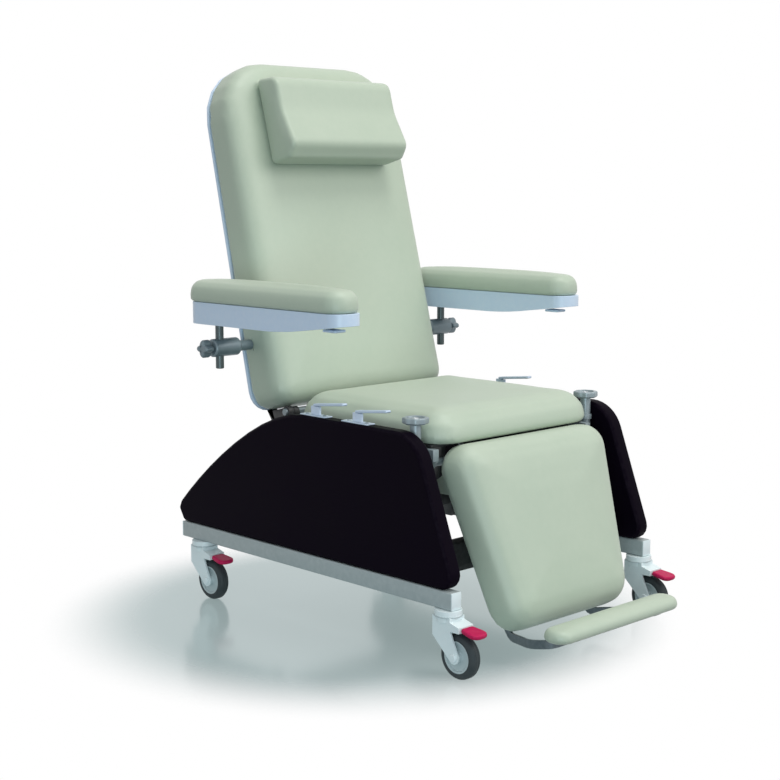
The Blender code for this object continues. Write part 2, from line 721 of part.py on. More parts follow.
def build_levers():
    """Release levers: a plate with an upright tab on the panel's crest, and the lever hinged on the tab."""
    plate_bottom = PANEL_TOP + GAP
    plate_top = plate_bottom + LEVER_PLATE_THICKNESS
    tab_top = plate_top + LEVER_TAB_HEIGHT
    pivot_z = tab_top + GAP + LEVER_THICKNESS / 2
    for place, (sign, distance) in LEVER_PLACES.items():
        at = Vector((sign * LEVER_X, along(distance), 0.0))
        half = (LEVER_PLATE_WIDTH / 2, LEVER_PLATE_LENGTH / 2)
        plate = block((-half[0], -half[1], plate_bottom), (*half, plate_top))
        half = (LEVER_TAB_THICKNESS / 2, LEVER_TAB_LENGTH / 2)
        tab = block((-half[0], -half[1], (plate_bottom + plate_top) / 2), (*half, tab_top))
        add(f"lever_base_{place}", combined(plate, ("UNION", tab)), "steel", at)
        outline = arc((0.0, 0.0), LEVER_THICKNESS / 2, 90, -90, 6)
        outline += arc((-LEVER_LENGTH, 0.0), LEVER_THICKNESS / 2, -90, -270, 6)
        bar = soften(prism(outline, "X", -LEVER_WIDTH / 2, LEVER_WIDTH / 2), LEVER_EDGE, 1)
        add(f"lever_{place}", bar, "steel", at + Vector((0.0, 0.0, pivot_z)), -LEVER_RISE)


def fork_mesh():
    """Caster fork about its swivel axis: head under the rail, arms to the axle, and a hood over the wheel."""
    top = RAIL_BOTTOM - GAP
    crown = top - HEAD_HEIGHT
    axle = (-CASTER_TRAIL, WHEEL_RADIUS)
    hood_low = 2 * WHEEL_RADIUS + HOOD_LIFT
    outline = [(FORK_NECK_DEPTH, crown), (FORK_NECK_DEPTH, FORK_NECK_BOTTOM)]
    outline += arc(axle, FORK_EYE_RADIUS, -40, -220, 6)
    outline += [(-FORK_NECK_DEPTH, hood_low), (-HOOD_REACH, hood_low)]
    outline += [(-HOOD_REACH, hood_low + HOOD_NOSE), (-FORK_NECK_DEPTH, hood_low + HOOD_THICKNESS)]
    outline.append((-FORK_NECK_DEPTH, crown))
    body = prism(outline, "X", -FORK_WIDTH / 2, FORK_WIDTH / 2)
    slot_reach = WHEEL_RADIUS + FORK_CROWN
    low = (-FORK_SLOT / 2, -CASTER_TRAIL - 2 * slot_reach, -slot_reach)
    slot = block(low, (FORK_SLOT / 2, slot_reach - CASTER_TRAIL, WHEEL_RADIUS + slot_reach))
    end = FORK_WIDTH / 2 + AXLE_CAP_PROUD
    inner = (FORK_WIDTH + FORK_SLOT) / 4
    cap = CASTER_AXLE_RADIUS + AXLE_CAP_RIM
    profile = [(cap, -end), (cap, -inner), (CASTER_AXLE_RADIUS, -inner)]
    profile += [(CASTER_AXLE_RADIUS, inner), (cap, inner), (cap, end)]
    pin = turned(profile, "X", 12, (0.0, *axle))
    profile = [(NECK_RADIUS, crown - NECK_DROP), (NECK_RADIUS, crown)]
    profile += [(HEAD_RADIUS, crown), (HEAD_RADIUS, top)]
    head = turned(profile, "Z", 16)
    return combined(body, ("DIFFERENCE", slot), ("UNION", pin), ("UNION", head))


def wheel_solid():
    """Wheel about its axle: bore, boss, sunk hub and rounded tyre, with a flat of its rim on the floor."""
    rim = WHEEL_RADIUS / math.cos(math.pi / WHEEL_SIDES)
    bore = CASTER_AXLE_RADIUS + PIVOT_PLAY
    boss = FORK_SLOT / 2 - GAP
    side = WHEEL_WIDTH / 2
    hub = WHEEL_RADIUS - TYRE_THICKNESS
    recess = side - HUB_RECESS
    half = [(bore, boss), (HUB_BOSS_RADIUS, boss), (HUB_BOSS_RADIUS, recess), (hub, recess)]
    half += [(hub, side), (rim - TYRE_SHOULDER, side), (rim, side - TYRE_SHOULDER)]
    profile = half + [(radius, -distance) for radius, distance in reversed(half)]
    return turned(profile, "X", WHEEL_SIDES, closed=True, phase=math.pi / WHEEL_SIDES - math.pi / 2)


def pedal_solid():
    """Brake pedal ahead of its pivot: a paddle wider at its rounded tip."""
    root, tip = PEDAL_ROOT_WIDTH / 2, PEDAL_WIDTH / 2
    corners = [(-tip, -PEDAL_LENGTH, PEDAL_CORNER), (tip, -PEDAL_LENGTH, PEDAL_CORNER)]
    corners += [(root, PEDAL_HEEL, PEDAL_HEEL_CORNER), (-root, PEDAL_HEEL, PEDAL_HEEL_CORNER)]
    solid = prism(rounded(corners, 3), "Z", -PEDAL_THICKNESS / 2, PEDAL_THICKNESS / 2)
    return soften(solid, PEDAL_EDGE, 2)


def build_casters():
    """Four swivel casters under the rails, each a fork, a wheel and a brake pedal."""
    pivot_z = 2 * WHEEL_RADIUS + HOOD_LIFT + HOOD_NOSE / 2
    for side, sign in SIDES.items():
        for place, distance in (("front", CASTER_FRONT_FROM), ("rear", CASTER_REAR_FROM)):
            name = f"{place}_{side}"
            at = Vector((sign * CASTER_X, along(distance), 0.0))
            add(f"caster_fork_{name}", fork_mesh(), "caster_plastic", at)
            axle = at + Vector((0.0, -CASTER_TRAIL, WHEEL_RADIUS))
            add(f"caster_wheel_{name}", wheel_solid(), "tyre", axle)
            pivot = at + Vector((0.0, -HOOD_REACH - PEDAL_HEEL - PEDAL_SWING_PLAY, pivot_z))
            add(f"brake_pedal_{name}", pedal_solid(), "pedal_red", pivot, PEDAL_SLOPE)


def tapered(depth, height):
    """Depth in the backrest at a height: the backrest thins evenly towards its top."""
    return BACK_TAPER_AXIS + (depth - BACK_TAPER_AXIS) * (1 - BACK_TAPER * height)


def back_place(across, height, out):
    """Point of the backrest's cushion, a distance out towards its front."""
    return across, tapered(-out, height), height


def build_backrest():
    """Cushion on a thin rear shell, carried by two arms on the axle."""
    half = BACK_HALF_WIDTH
    corners = [(-half, BACK_BOTTOM, BACK_BOTTOM_CORNER), (half, BACK_BOTTOM, BACK_BOTTOM_CORNER)]
    corners += [(half, BACK_TOP, BACK_TOP_CORNER), (-half, BACK_TOP, BACK_TOP_CORNER)]
    outline = rounded(corners, cuts=3)
    high = BACK_CROWN - BACK_FRONT
    pad = cushion(outline, -BACK_REAR, high, BACK_EDGE, BACK_CROWN, BACK_DRAW_IN, back_place)
    add("back_cushion", pad, "vinyl", BACK_PIVOT, -BACK_TILT)
    shell = soften(prism(outline, "Y", BACK_SHELL_FRONT, BACK_SHELL_REAR), BACK_SHELL_EDGE, 2)
    for point in shell.verts:
        point.co.y = tapered(point.co.y, point.co.z)
    add("back_shell", shell, "white_plastic", BACK_PIVOT, -BACK_TILT)
    lug = recline_lug()
    outline = arc((0.0, 0.0), BACK_ARM_TOP, 90, 180, 4)
    outline += [(-BACK_ARM_TOP, BACK_ARM_BOTTOM), (lug[0] - 2 * LUG_EYE_RADIUS, BACK_ARM_BOTTOM)]
    outline += arc(lug, LUG_EYE_RADIUS, -160, -20, 6)
    outline.append((lug[0] + 2 * LUG_EYE_RADIUS, BACK_ARM_BOTTOM))
    outline.append((tapered(BACK_SHELL_REAR, BACK_ARM_HEEL) + GAP + BACK_ARM_DEPTH, BACK_ARM_HEEL))
    outline.append((tapered(BACK_SHELL_REAR, BACK_ARM_LENGTH) + GAP + BACK_ARM_DEPTH, BACK_ARM_LENGTH))
    outline.append((tapered(BACK_SHELL_REAR, BACK_ARM_LENGTH) + GAP, BACK_ARM_LENGTH))
    outline.append((tapered(BACK_SHELL_REAR, BACK_ARM_TOP) + GAP, BACK_ARM_TOP))
    for side, sign in SIDES.items():
        low_x, high_x = span(sign, BACK_ARM_X, BACK_ARM_X + BACK_ARM_THICKNESS)
        hole = rod("X", BACK_AXLE_RADIUS + PIVOT_PLAY, low_x - GAP, high_x + GAP)
        arm = combined(prism(outline, "X", low_x, high_x), ("DIFFERENCE", hole))
        add(f"back_arm_{side}", arm, "dark_frame", BACK_PIVOT, -BACK_TILT)


def recline_lug():
    """The recline spring's pin on the back arm, in the backrest's frame."""
    angle = RECLINE_LUG_ANGLE + BACK_TILT
    return RECLINE_LUG_RADIUS * math.cos(angle), RECLINE_LUG_RADIUS * math.sin(angle)


def build_headrest():
    """Shaped cushion against the top of the backrest: thick ridge below, hollow for the head above."""

    def front(height):
        return tapered(BACK_FRONT - BACK_CROWN * HEADREST_BED, height) - GAP

    high = BACK_TOP - HEADREST_DROP
    low = high - HEADREST_HEIGHT
    ridge = low + HEADREST_RIDGE_RISE
    waist = (ridge + high) / 2
    corners = [(front(low), low, HEADREST_EDGE), (front(high), high, HEADREST_EDGE)]
    corners.append((front(high) - HEADREST_TOP_DEPTH, high - HEADREST_TOP_FALL, HEADREST_TOP_RADIUS))
    corners.append((front(waist) - HEADREST_WAIST_DEPTH, waist, HEADREST_WAIST_RADIUS))
    corners.append((front(ridge) - HEADREST_RIDGE_DEPTH, ridge, HEADREST_RIDGE_RADIUS))
    corners.append((front(low) - HEADREST_FOOT_DEPTH, low, HEADREST_EDGE))
    half = HEADREST_HALF_WIDTH
    outline = rounded(corners, 3, 1)
    pad = cushion(outline, -half, half, HEADREST_EDGE, HEADREST_CROWN, 0.0, side_place, both=True)
    add("headrest_cushion", pad, "vinyl", BACK_PIVOT, -BACK_TILT)


def shell_floor(distance):
    """Height of the arm shell's underside: level, then rising to the front."""
    rise = ARM_SHELL_FRONT_BOTTOM - ARM_SHELL_BOTTOM
    share = (ARM_SHELL_SLOPE_FROM - distance) / (ARM_SHELL_SLOPE_FROM - ARM_FRONT_FROM)
    return ARM_SHELL_BOTTOM + rise * max(0.0, share)


def arm_outline(width, overhang, front_inset, sign):
    """Plan of an arm about its post, anticlockwise."""
    middle = -sign * ARM_INSET_X
    front = ARM_FRONT_FROM + front_inset - ARM_POST_FROM
    rear = ARM_REAR_FROM + overhang - ARM_POST_FROM
    corners = [(middle - width / 2, front), (middle + width / 2, front)]
    corners += [(middle + width / 2, rear), (middle - width / 2, rear)]
    return rounded([(*corner, ARM_CORNER + overhang) for corner in corners], cuts=3)


def build_clamp(side, sign, post):
    """Clamp on the backrest's side, bored for the arm post, with a star knob on its outer end."""
    reach = [BACK_HALF_WIDTH + GAP, CLAMP_INNER_X, CLAMP_INNER_X + CLAMP_CHAMFER, CLAMP_OUTER_X]
    neck, inner, shoulder, outer = [sign * (place - ARM_POST_X) for place in reach]
    profile = [(CLAMP_NECK_RADIUS, neck), (CLAMP_NECK_RADIUS, inner)]
    profile += [(CLAMP_RADIUS - CLAMP_CHAMFER, inner), (CLAMP_RADIUS, shoulder), (CLAMP_RADIUS, outer)]
    bore = rod("Z", ARM_POST_RADIUS + PIVOT_PLAY, -2 * CLAMP_RADIUS, 2 * CLAMP_RADIUS)
    at = post + Vector((0.0, 0.0, CLAMP_Z))
    add(f"arm_clamp_{side}", combined(turned(profile, "X", 16), ("DIFFERENCE", bore)), "clamp_grey", at)
    low, high = span(sign, GAP, GAP + STAR_HUB_LENGTH + STAR_LENGTH / 2)
    hub = rod("X", STAR_HUB_RADIUS, low, high)
    low, high = span(sign, GAP + STAR_HUB_LENGTH, GAP + STAR_HUB_LENGTH + STAR_LENGTH)
    outline = lobed(STAR_RADIUS, STAR_LOBE_DEPTH, STAR_LOBES, 6)
    star = soften(prism(outline, "X", low, high), STAR_EDGE, 1)
    at = at + Vector((outer, 0.0, 0.0))
    add(f"star_knob_{side}", combined(star, ("UNION", hub)), "white_plastic", at)


def build_arms():
    """Arm each side: clamp, post, moulded shell, pad and the release paddle under its front."""
    for side, sign in SIDES.items():
        post = Vector((sign * ARM_POST_X, along(ARM_POST_FROM), 0.0))
        build_clamp(side, sign, post)
        stem = rod("Z", ARM_POST_RADIUS, ARM_POST_BOTTOM, ARM_SHELL_BOTTOM - GAP)
        add(f"arm_post_{side}", stem, "steel", post)
        plan = prism(arm_outline(ARM_SHELL_WIDTH, 0.0, 0.0, sign), "Z", ARM_SHELL_BOTTOM - GAP, ARM_SHELL_TOP)
        front = ARM_FRONT_FROM - ARM_POST_FROM
        slope = ARM_SHELL_SLOPE_FROM - ARM_POST_FROM
        rear = ARM_REAR_FROM - ARM_POST_FROM
        high = ARM_SHELL_TOP + ARM_SHELL_WIDTH
        tip = Vector((front - GAP, ARM_SHELL_FRONT_BOTTOM))
        heel = Vector((rear - ARM_SHELL_RAKE, ARM_SHELL_BOTTOM))
        bend = corner_arc(tip, Vector((slope, ARM_SHELL_BOTTOM)), heel, ARM_SHELL_BEND)
        outline = [(front - GAP, high), tuple(tip), *(tuple(point) for point in bend), tuple(heel)]
        outline += [(rear + GAP, ARM_SHELL_TOP), (rear + GAP, high)]
        profile = prism(outline, "X", -ARM_SHELL_WIDTH, ARM_SHELL_WIDTH)
        add(f"arm_shell_{side}", combined(plan, ("INTERSECT", profile)), "white_plastic", post)
        low = ARM_SHELL_TOP + GAP
        width = ARM_SHELL_WIDTH + 2 * ARM_PAD_OVERHANG
        plan = arm_outline(width, ARM_PAD_OVERHANG, ARM_PAD_FRONT_INSET, sign)
        top = low + ARM_PAD_THICKNESS
        pad = cushion(plan, low, top, ARM_PAD_EDGE, ARM_PAD_CROWN, ARM_PAD_DRAW_IN, level_place)
        add(f"arm_pad_{side}", pad, "vinyl", post)
        pivot = PADDLE_FRONT_FROM + PADDLE_LENGTH
        low = (-PADDLE_WIDTH / 2, -PADDLE_LENGTH, -PADDLE_THICKNESS)
        paddle = block(low, (PADDLE_WIDTH / 2, 0.0, 0.0), PADDLE_EDGE)
        at = post + Vector((-sign * ARM_INSET_X, pivot - ARM_POST_FROM, shell_floor(pivot) - GAP))
        add(f"arm_paddle_{side}", paddle, "white_plastic", at)


def leg_outline(inset):
    """Front view of the leg rest, narrower and rounder at its foot."""
    top, foot = LEG_TOP_HALF_WIDTH - inset, LEG_BOTTOM_HALF_WIDTH - inset
    low, low_corner = LEG_BOTTOM + inset, LEG_BOTTOM_CORNER - inset
    high, high_corner = LEG_TOP - inset, LEG_TOP_CORNER - inset
    corners = [(-foot, low, low_corner), (foot, low, low_corner)]
    corners += [(top, high, high_corner), (-top, high, high_corner)]
    return rounded(corners, cuts=3)


def build_leg_carriage():
    """Slider along each side frame, joined by the shaft that the leg rest hangs on."""
    inner = SIDE_FRAME_X + SIDE_FRAME_THICKNESS + GAP
    outer = inner + SLIDER_THICKNESS
    top = SIDE_FRAME_TOP - LEG_PIVOT_Z
    under = top - SLIDER_HEIGHT
    outline = [(SLIDER_FRONT, top), (SLIDER_FRONT, under)]
    outline += arc((0.0, 0.0), SLIDER_EAR_RADIUS, 180, 360, 8)
    outline += [(2 * SLIDER_EAR_RADIUS, under), (SLIDER_REAR, under), (SLIDER_REAR, top)]
    shaft = rod("X", LEG_SHAFT_RADIUS, -inner - SLIDER_THICKNESS / 2, inner + SLIDER_THICKNESS / 2)
    sliders = [("UNION", prism(outline, "X", *span(sign, inner, outer))) for sign in SIDES.values()]
    add("leg_carriage", combined(shaft, *sliders), "clamp_grey", LEG_PIVOT)


def build_leg_rest():
    """Padded leg rest on a covered board with lugs round the carriage's shaft."""
    high = LEG_CROWN - LEG_FRONT
    pad = cushion(leg_outline(0.0), -LEG_REAR, high, LEG_EDGE, LEG_CROWN, LEG_DRAW_IN, front_place)
    add("leg_cushion", pad, "vinyl", LEG_PIVOT, -LEG_TILT)
    board = prism(leg_outline(LEG_BOARD_INSET), "Y", LEG_BOARD_FRONT, LEG_BOARD_REAR)
    root = (LEG_BOARD_FRONT + LEG_BOARD_REAR) / 2
    outline = [(root, -LEG_LUG_RADIUS)]
    outline += arc((0.0, 0.0), LEG_LUG_RADIUS, -90, 90, 8)
    outline.append((root, LEG_LUG_RADIUS))
    steps = []
    for sign in SIDES.values():
        low_x, high_x = span(sign, LEG_LUG_X, LEG_LUG_X + LEG_LUG_THICKNESS)
        steps.append(("UNION", prism(outline, "X", low_x, high_x)))
    for sign in SIDES.values():
        low_x, high_x = span(sign, LEG_LUG_X - GAP, LEG_LUG_X + LEG_LUG_THICKNESS + GAP)
        steps.append(("DIFFERENCE", rod("X", LEG_SHAFT_RADIUS + PIVOT_PLAY, low_x, high_x)))
    outline = [(root, LEG_LUG_DROP - 2 * LUG_EYE_RADIUS)]
    outline += arc((LEG_LUG_BACK, LEG_LUG_DROP), LUG_EYE_RADIUS, -60, 60, 6)
    outline.append((root, LEG_LUG_DROP + 2 * LUG_EYE_RADIUS))
    low_x, high_x = span(-1, BACK_ARM_X, BACK_ARM_X + SPRING_LUG_THICKNESS)
    steps.append(("UNION", prism(outline, "X", low_x, high_x)))
    add("leg_board", combined(board, *steps), "vinyl", LEG_PIVOT, -LEG_TILT)


def leg_point(depth, height):
    """Y and Z, from the leg rest's pivot, of a point in its tilted frame."""
    turned_point = Matrix.Rotation(-LEG_TILT, 3, "X") @ Vector((0.0, depth, height))
    return turned_point.y, turned_point.z


def eased(points, radius, steps=4):
    """Path with each corner turned in a curve that starts and ends a radius away from it."""
    path = [points[0]]
    for before, here, after in zip(points, points[1:], points[2:]):
        start = here + (before - here).normalized() * radius
        end = here + (after - here).normalized() * radius
        for number in range(steps + 1):
            share = number / steps
            path.append(start.lerp(here, share).lerp(here.lerp(end, share), share))
    return path + [points[-1]]


def flat_bar(path, height, thickness):
    """Flat bar standing on edge along a path."""
    solid = bmesh.new()
    rings = []
    for number, here in enumerate(path):
        run = (path[min(number + 1, len(path) - 1)] - path[max(number - 1, 0)]).normalized()
        side = Vector((-run.y, run.x, 0.0)).normalized()
        rise = side.cross(run).normalized()
        ring = []
        for across, up in ((-1, -1), (1, -1), (1, 1), (-1, 1)):
            ring.append(solid.verts.new(here + side * across * thickness / 2 + rise * up * height / 2))
        rings.append(ring)
    for first, second in zip(rings, rings[1:]):
        bridge(solid, first, second)
    for ring in (rings[0], rings[-1]):
        solid.faces.new(ring)
    return solid


def build_footrest():
    """Two bent straps from behind the leg board to under the foot pad, and the pad."""
    depth = LEG_BOARD_REAR + GAP + STRAP_HEIGHT / 2
    front = STRAP_FRONT_FROM - LEG_PIVOT_FROM
    level = STRAP_FRONT_Z - LEG_PIVOT_Z
    for side, sign in SIDES.items():
        heights = (STRAP_TOP, STRAP_BEND)
        points = [Vector((sign * STRAP_TOP_X, *leg_point(depth, height))) for height in heights]
        points.append(Vector((sign * STRAP_X, STRAP_LOW_FROM - LEG_PIVOT_FROM, STRAP_LOW_Z - LEG_PIVOT_Z)))
        points.append(Vector((sign * STRAP_X, front, level)))
        points.append(Vector((sign * STRAP_END_X, front, level)))
        strap = flat_bar(eased(points, STRAP_BEND_RADIUS), STRAP_HEIGHT, STRAP_THICKNESS)
        add(f"foot_strap_{side}", strap, "strap_grey", LEG_PIVOT)
    near = FOOT_FRONT_FROM - LEG_PIVOT_FROM
    corners = [(-FOOT_HALF_LENGTH, near), (FOOT_HALF_LENGTH, near)]
    corners += [(FOOT_HALF_LENGTH, near + FOOT_DEPTH), (-FOOT_HALF_LENGTH, near + FOOT_DEPTH)]
    outline = rounded([(*corner, FOOT_CORNER) for corner in corners], 4, 2)
    low = FOOT_BOTTOM - LEG_PIVOT_Z
    high = low + FOOT_THICKNESS
    pad = cushion(outline, low, high, FOOT_EDGE, FOOT_CROWN, FOOT_DRAW_IN, level_place)
    add("foot_pad", pad, "vinyl", LEG_PIVOT)


def build_spring(name, foot, end, body, stem):
    """Gas spring from its pin on a beam to a moving lug; its far eye stays clear beside the lug."""
    sign = math.copysign(1, foot.x)
    run = end - foot
    tilt = math.atan2(-run.y, run.z)
    bore = SPRING_ROD_RADIUS + SPRING_BORE_PLAY
    profile = [(0.0, SPRING_NECK_LENGTH), (SPRING_RADIUS, SPRING_NECK_LENGTH), (SPRING_RADIUS, body)]
    profile += [(bore, body), (bore, SPRING_BLIND_LENGTH), (0.0, SPRING_BLIND_LENGTH)]
    half = SPRING_EYE_THICKNESS / 2
    pin = half + GAP + SPRING_LUG_THICKNESS
    eye = [(SPRING_EYE_RADIUS, -sign * half), (SPRING_EYE_RADIUS, sign * half)]
    eye += [(SPRING_PIN_RADIUS, sign * half), (SPRING_PIN_RADIUS, sign * pin)]
    neck = rod("Z", SPRING_ROD_RADIUS, 0.0, (SPRING_NECK_LENGTH + SPRING_BLIND_LENGTH) / 2, 12)
    cylinder = combined(turned(profile, "Z", 12), ("UNION", neck), ("UNION", turned(eye, "X", 12)))
    add(f"{name}_spring_cylinder", cylinder, "dark_frame", foot, tilt)
    length = run.length
    far_eye = rod("X", SPRING_EYE_RADIUS, -half, half, 12, (0.0, 0.0, length))
    stem_rod = rod("Z", SPRING_ROD_RADIUS, length - stem, length, 12)
    add(f"{name}_spring_rod", combined(stem_rod, ("UNION", far_eye)), "steel", foot, tilt)


def build_springs():
    """Gas springs for the recline, on the left, and for the leg lift, on the right."""
    turn = Matrix.Rotation(-BACK_TILT, 3, "X")
    end = BACK_PIVOT + turn @ Vector((SPRING_X, *recline_lug()))
    build_spring("recline", spring_foot(True), end, RECLINE_SPRING_BODY_LENGTH, RECLINE_SPRING_ROD_LENGTH)
    end = LEG_PIVOT + Vector((-SPRING_X, *leg_point(LEG_LUG_BACK, LEG_LUG_DROP)))
    build_spring("leg", spring_foot(False), end, LEG_SPRING_BODY_LENGTH, LEG_SPRING_ROD_LENGTH)


def main():
    """Clears the scene and builds every sub-assembly."""
    for left_over in list(bpy.data.objects):
        bpy.data.objects.remove(left_over)
    build_rails()
    build_cross_beams()
    build_side_frames()
    build_seat()
    build_panels()
    build_accessory_posts()
    build_levers()
    build_casters()
    build_backrest()
    build_headrest()
    build_arms()
    build_leg_carriage()
    build_leg_rest()
    build_footrest()
    build_springs()


main()
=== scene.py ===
"""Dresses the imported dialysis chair: padded vinyl, moulded panels, casters, arms, levers and a studio."""

import json
import logging
import math
from dataclasses import dataclass
from enum import Enum

import bmesh
import bpy
import numpy as np
from mathutils import Matrix, Vector
from mathutils.bvhtree import BVHTree


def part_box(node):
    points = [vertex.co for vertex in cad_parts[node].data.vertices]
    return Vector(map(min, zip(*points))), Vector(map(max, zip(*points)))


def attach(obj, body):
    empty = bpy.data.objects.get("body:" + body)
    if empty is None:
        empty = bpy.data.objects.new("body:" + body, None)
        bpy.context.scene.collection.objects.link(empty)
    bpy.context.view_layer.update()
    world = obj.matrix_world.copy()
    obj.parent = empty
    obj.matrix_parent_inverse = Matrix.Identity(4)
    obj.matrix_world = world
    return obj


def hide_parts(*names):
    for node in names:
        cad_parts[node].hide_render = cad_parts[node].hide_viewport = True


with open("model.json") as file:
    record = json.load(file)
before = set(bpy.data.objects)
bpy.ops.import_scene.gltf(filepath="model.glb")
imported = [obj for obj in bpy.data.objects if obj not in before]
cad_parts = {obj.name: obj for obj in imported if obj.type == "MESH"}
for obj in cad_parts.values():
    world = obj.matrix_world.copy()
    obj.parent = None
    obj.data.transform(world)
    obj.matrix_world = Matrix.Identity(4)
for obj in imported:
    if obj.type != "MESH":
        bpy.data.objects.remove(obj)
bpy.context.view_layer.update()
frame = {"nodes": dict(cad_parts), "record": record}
LOG = logging.getLogger("chair")
SIDES: dict[str, int] = {"right": -1, "left": 1}
PLACES: tuple[str, str] = ("front", "rear")
LEVERS: tuple[str, str, str] = ("right_front", "right_rear", "left")
COAT_ROUGHNESS = 0.25
SHEEN_ROUGHNESS = 0.4
DUST_COLOUR = (0.42, 0.41, 0.38)
GLOSS_LESS = 0.05
GLOSS_MORE = 0.08
SHARP_ANGLE = math.radians(38)
MERGE_DISTANCE = 0.00002
SPIN_MERGE = 0.00001
CURVE_SHARE = 0.45


class Surface(Enum):
    """Kinds of surface a finish can have."""

    HIDE = "hide"
    MOULDED = "moulded"
    COATED = "coated"
    BRUSHED = "brushed"
    RUBBER = "rubber"


@dataclass(frozen=True)
class Finish:
    """One finish of the chair: its colours, gloss and the scale of its surface."""

    name: str
    surface: Surface
    colour: tuple[float, float, float]
    shade: tuple[float, float, float]
    worn: tuple[float, float, float]
    roughness: float
    metallic: float = 0.0
    coat: float = 0.0
    sheen: float = 0.0
    specular: float = 0.5
    grain: float = 900.0
    depth: float = 0.0001
    dust: float = 0.0

    def material(self) -> bpy.types.Material:
        """Node material of the finish, made on first use.

        Returns:
            The shared material.
        """
        found = bpy.data.materials.get(self.name)
        if found:
            return found
        made = bpy.data.materials.new(self.name)
        made.use_nodes = True
        tree = made.node_tree
        shader = tree.nodes["Principled BSDF"]
        shader.inputs["Metallic"].default_value = self.metallic
        shader.inputs["Coat Weight"].default_value = self.coat
        shader.inputs["Specular IOR Level"].default_value = self.specular
        shader.inputs["Coat Roughness"].default_value = COAT_ROUGHNESS
        shader.inputs["Sheen Weight"].default_value = self.sheen
        shader.inputs["Sheen Roughness"].default_value = SHEEN_ROUGHNESS
        place = tree.nodes.new("ShaderNodeTexCoord")
        grain = placed(tree, grain_group(self.surface), Scale=self.grain)
        wear = placed(tree, wear_group())
        dust = placed(tree, dust_group(), Amount=self.dust)
        for group in (grain, wear, dust):
            tree.links.new(place.outputs["Object"], group.inputs["Vector"])
        tone = mixed(tree, self.colour, self.shade, grain.outputs["Tone"])
        edge = mixed(tree, tone, self.worn, wear.outputs["Mask"])
        settled = mixed(tree, edge, DUST_COLOUR, dust.outputs["Mask"])
        tree.links.new(settled, shader.inputs["Base Color"])
        gloss = tree.nodes.new("ShaderNodeMapRange")
        gloss.inputs["To Min"].default_value = self.roughness - GLOSS_LESS
        gloss.inputs["To Max"].default_value = self.roughness + GLOSS_MORE
        tree.links.new(grain.outputs["Tone"], gloss.inputs["Value"])
        tree.links.new(gloss.outputs["Result"], shader.inputs["Roughness"])
        bump = tree.nodes.new("ShaderNodeBump")
        bump.inputs["Strength"].default_value = 1.0
        bump.inputs["Distance"].default_value = self.depth
        tree.links.new(grain.outputs["Height"], bump.inputs["Height"])
        tree.links.new(bump.outputs["Normal"], shader.inputs["Normal"])
        return made


def placed(tree: bpy.types.NodeTree, group: bpy.types.NodeTree, **values: float) -> bpy.types.Node:
    """Places a shared node group in a tree.

    Args:
        tree: The material's node tree.
        group: The shared group.
        values: Values of the group's inputs by name.

    Returns:
        The group node.
    """
    node = tree.nodes.new("ShaderNodeGroup")
    node.node_tree = group
    for name, value in values.items():
        node.inputs[name].default_value = value
    return node


def mixed(
    tree: bpy.types.NodeTree, first: object, second: object, share: bpy.types.NodeSocket,
) -> bpy.types.NodeSocket:
    """Mixes two colours by a mask.

    Args:
        tree: The node tree.
        first: A colour or a colour socket.
        second: A colour or a colour socket.
        share: The mask's socket.

    Returns:
        The mixed colour's socket.
    """
    mix = tree.nodes.new("ShaderNodeMix")
    mix.data_type = "RGBA"
    for value, name in ((first, "A"), (second, "B")):
        socket = next(s for s in mix.inputs if s.name == name and s.type == "RGBA")
        if isinstance(value, bpy.types.NodeSocket):
            tree.links.new(value, socket)
        else:
            socket.default_value = (*value, 1.0)
    tree.links.new(share, mix.inputs["Factor"])
    return next(s for s in mix.outputs if s.type == "RGBA")


def shared_group(name: str, inputs: tuple[str, ...], outputs: tuple[str, ...]) -> bpy.types.NodeTree:
    """Empty shader group with a Vector input, named value inputs and value outputs.

    Args:
        name: The group's name.
        inputs: Names of its value inputs.
        outputs: Names of its value outputs.

    Returns:
        The group with its input and output nodes.
    """
    group = bpy.data.node_groups.new(name, "ShaderNodeTree")
    group.interface.new_socket("Vector", in_out="INPUT", socket_type="NodeSocketVector")
    for label in inputs:
        group.interface.new_socket(label, in_out="INPUT", socket_type="NodeSocketFloat")
    for label in outputs:
        group.interface.new_socket(label, in_out="OUTPUT", socket_type="NodeSocketFloat")
    group.nodes.new("NodeGroupInput")
    group.nodes.new("NodeGroupOutput")
    return group


def maths(
    group: bpy.types.NodeTree, operation: str, *values: object, clamp: bool = False,
) -> bpy.types.NodeSocket:
    """Math node fed by numbers and sockets.

    Args:
        group: The node tree.
        operation: The node's operation.
        values: Its inputs in order.
        clamp: True to keep the result from 0 to 1.

    Returns:
        The result's socket.
    """
    node = group.nodes.new("ShaderNodeMath")
    node.operation = operation
    node.use_clamp = clamp
    for number, value in enumerate(values):
        if isinstance(value, bpy.types.NodeSocket):
            group.links.new(value, node.inputs[number])
        else:
            node.inputs[number].default_value = value
    return node.outputs[0]


def noise_of(
    group: bpy.types.NodeTree, place: bpy.types.NodeSocket, scale: object, detail: float,
) -> bpy.types.NodeSocket:
    """Noise texture's value in a group.

    Args:
        group: The node tree.
        place: The coordinates.
        scale: Its scale, a number or a socket.
        detail: Its detail.

    Returns:
        The noise's socket.
    """
    node = group.nodes.new("ShaderNodeTexNoise")
    node.inputs["Detail"].default_value = detail
    group.links.new(place, node.inputs["Vector"])
    if isinstance(scale, bpy.types.NodeSocket):
        group.links.new(scale, node.inputs["Scale"])
    else:
        node.inputs["Scale"].default_value = scale
    return node.outputs["Fac"]


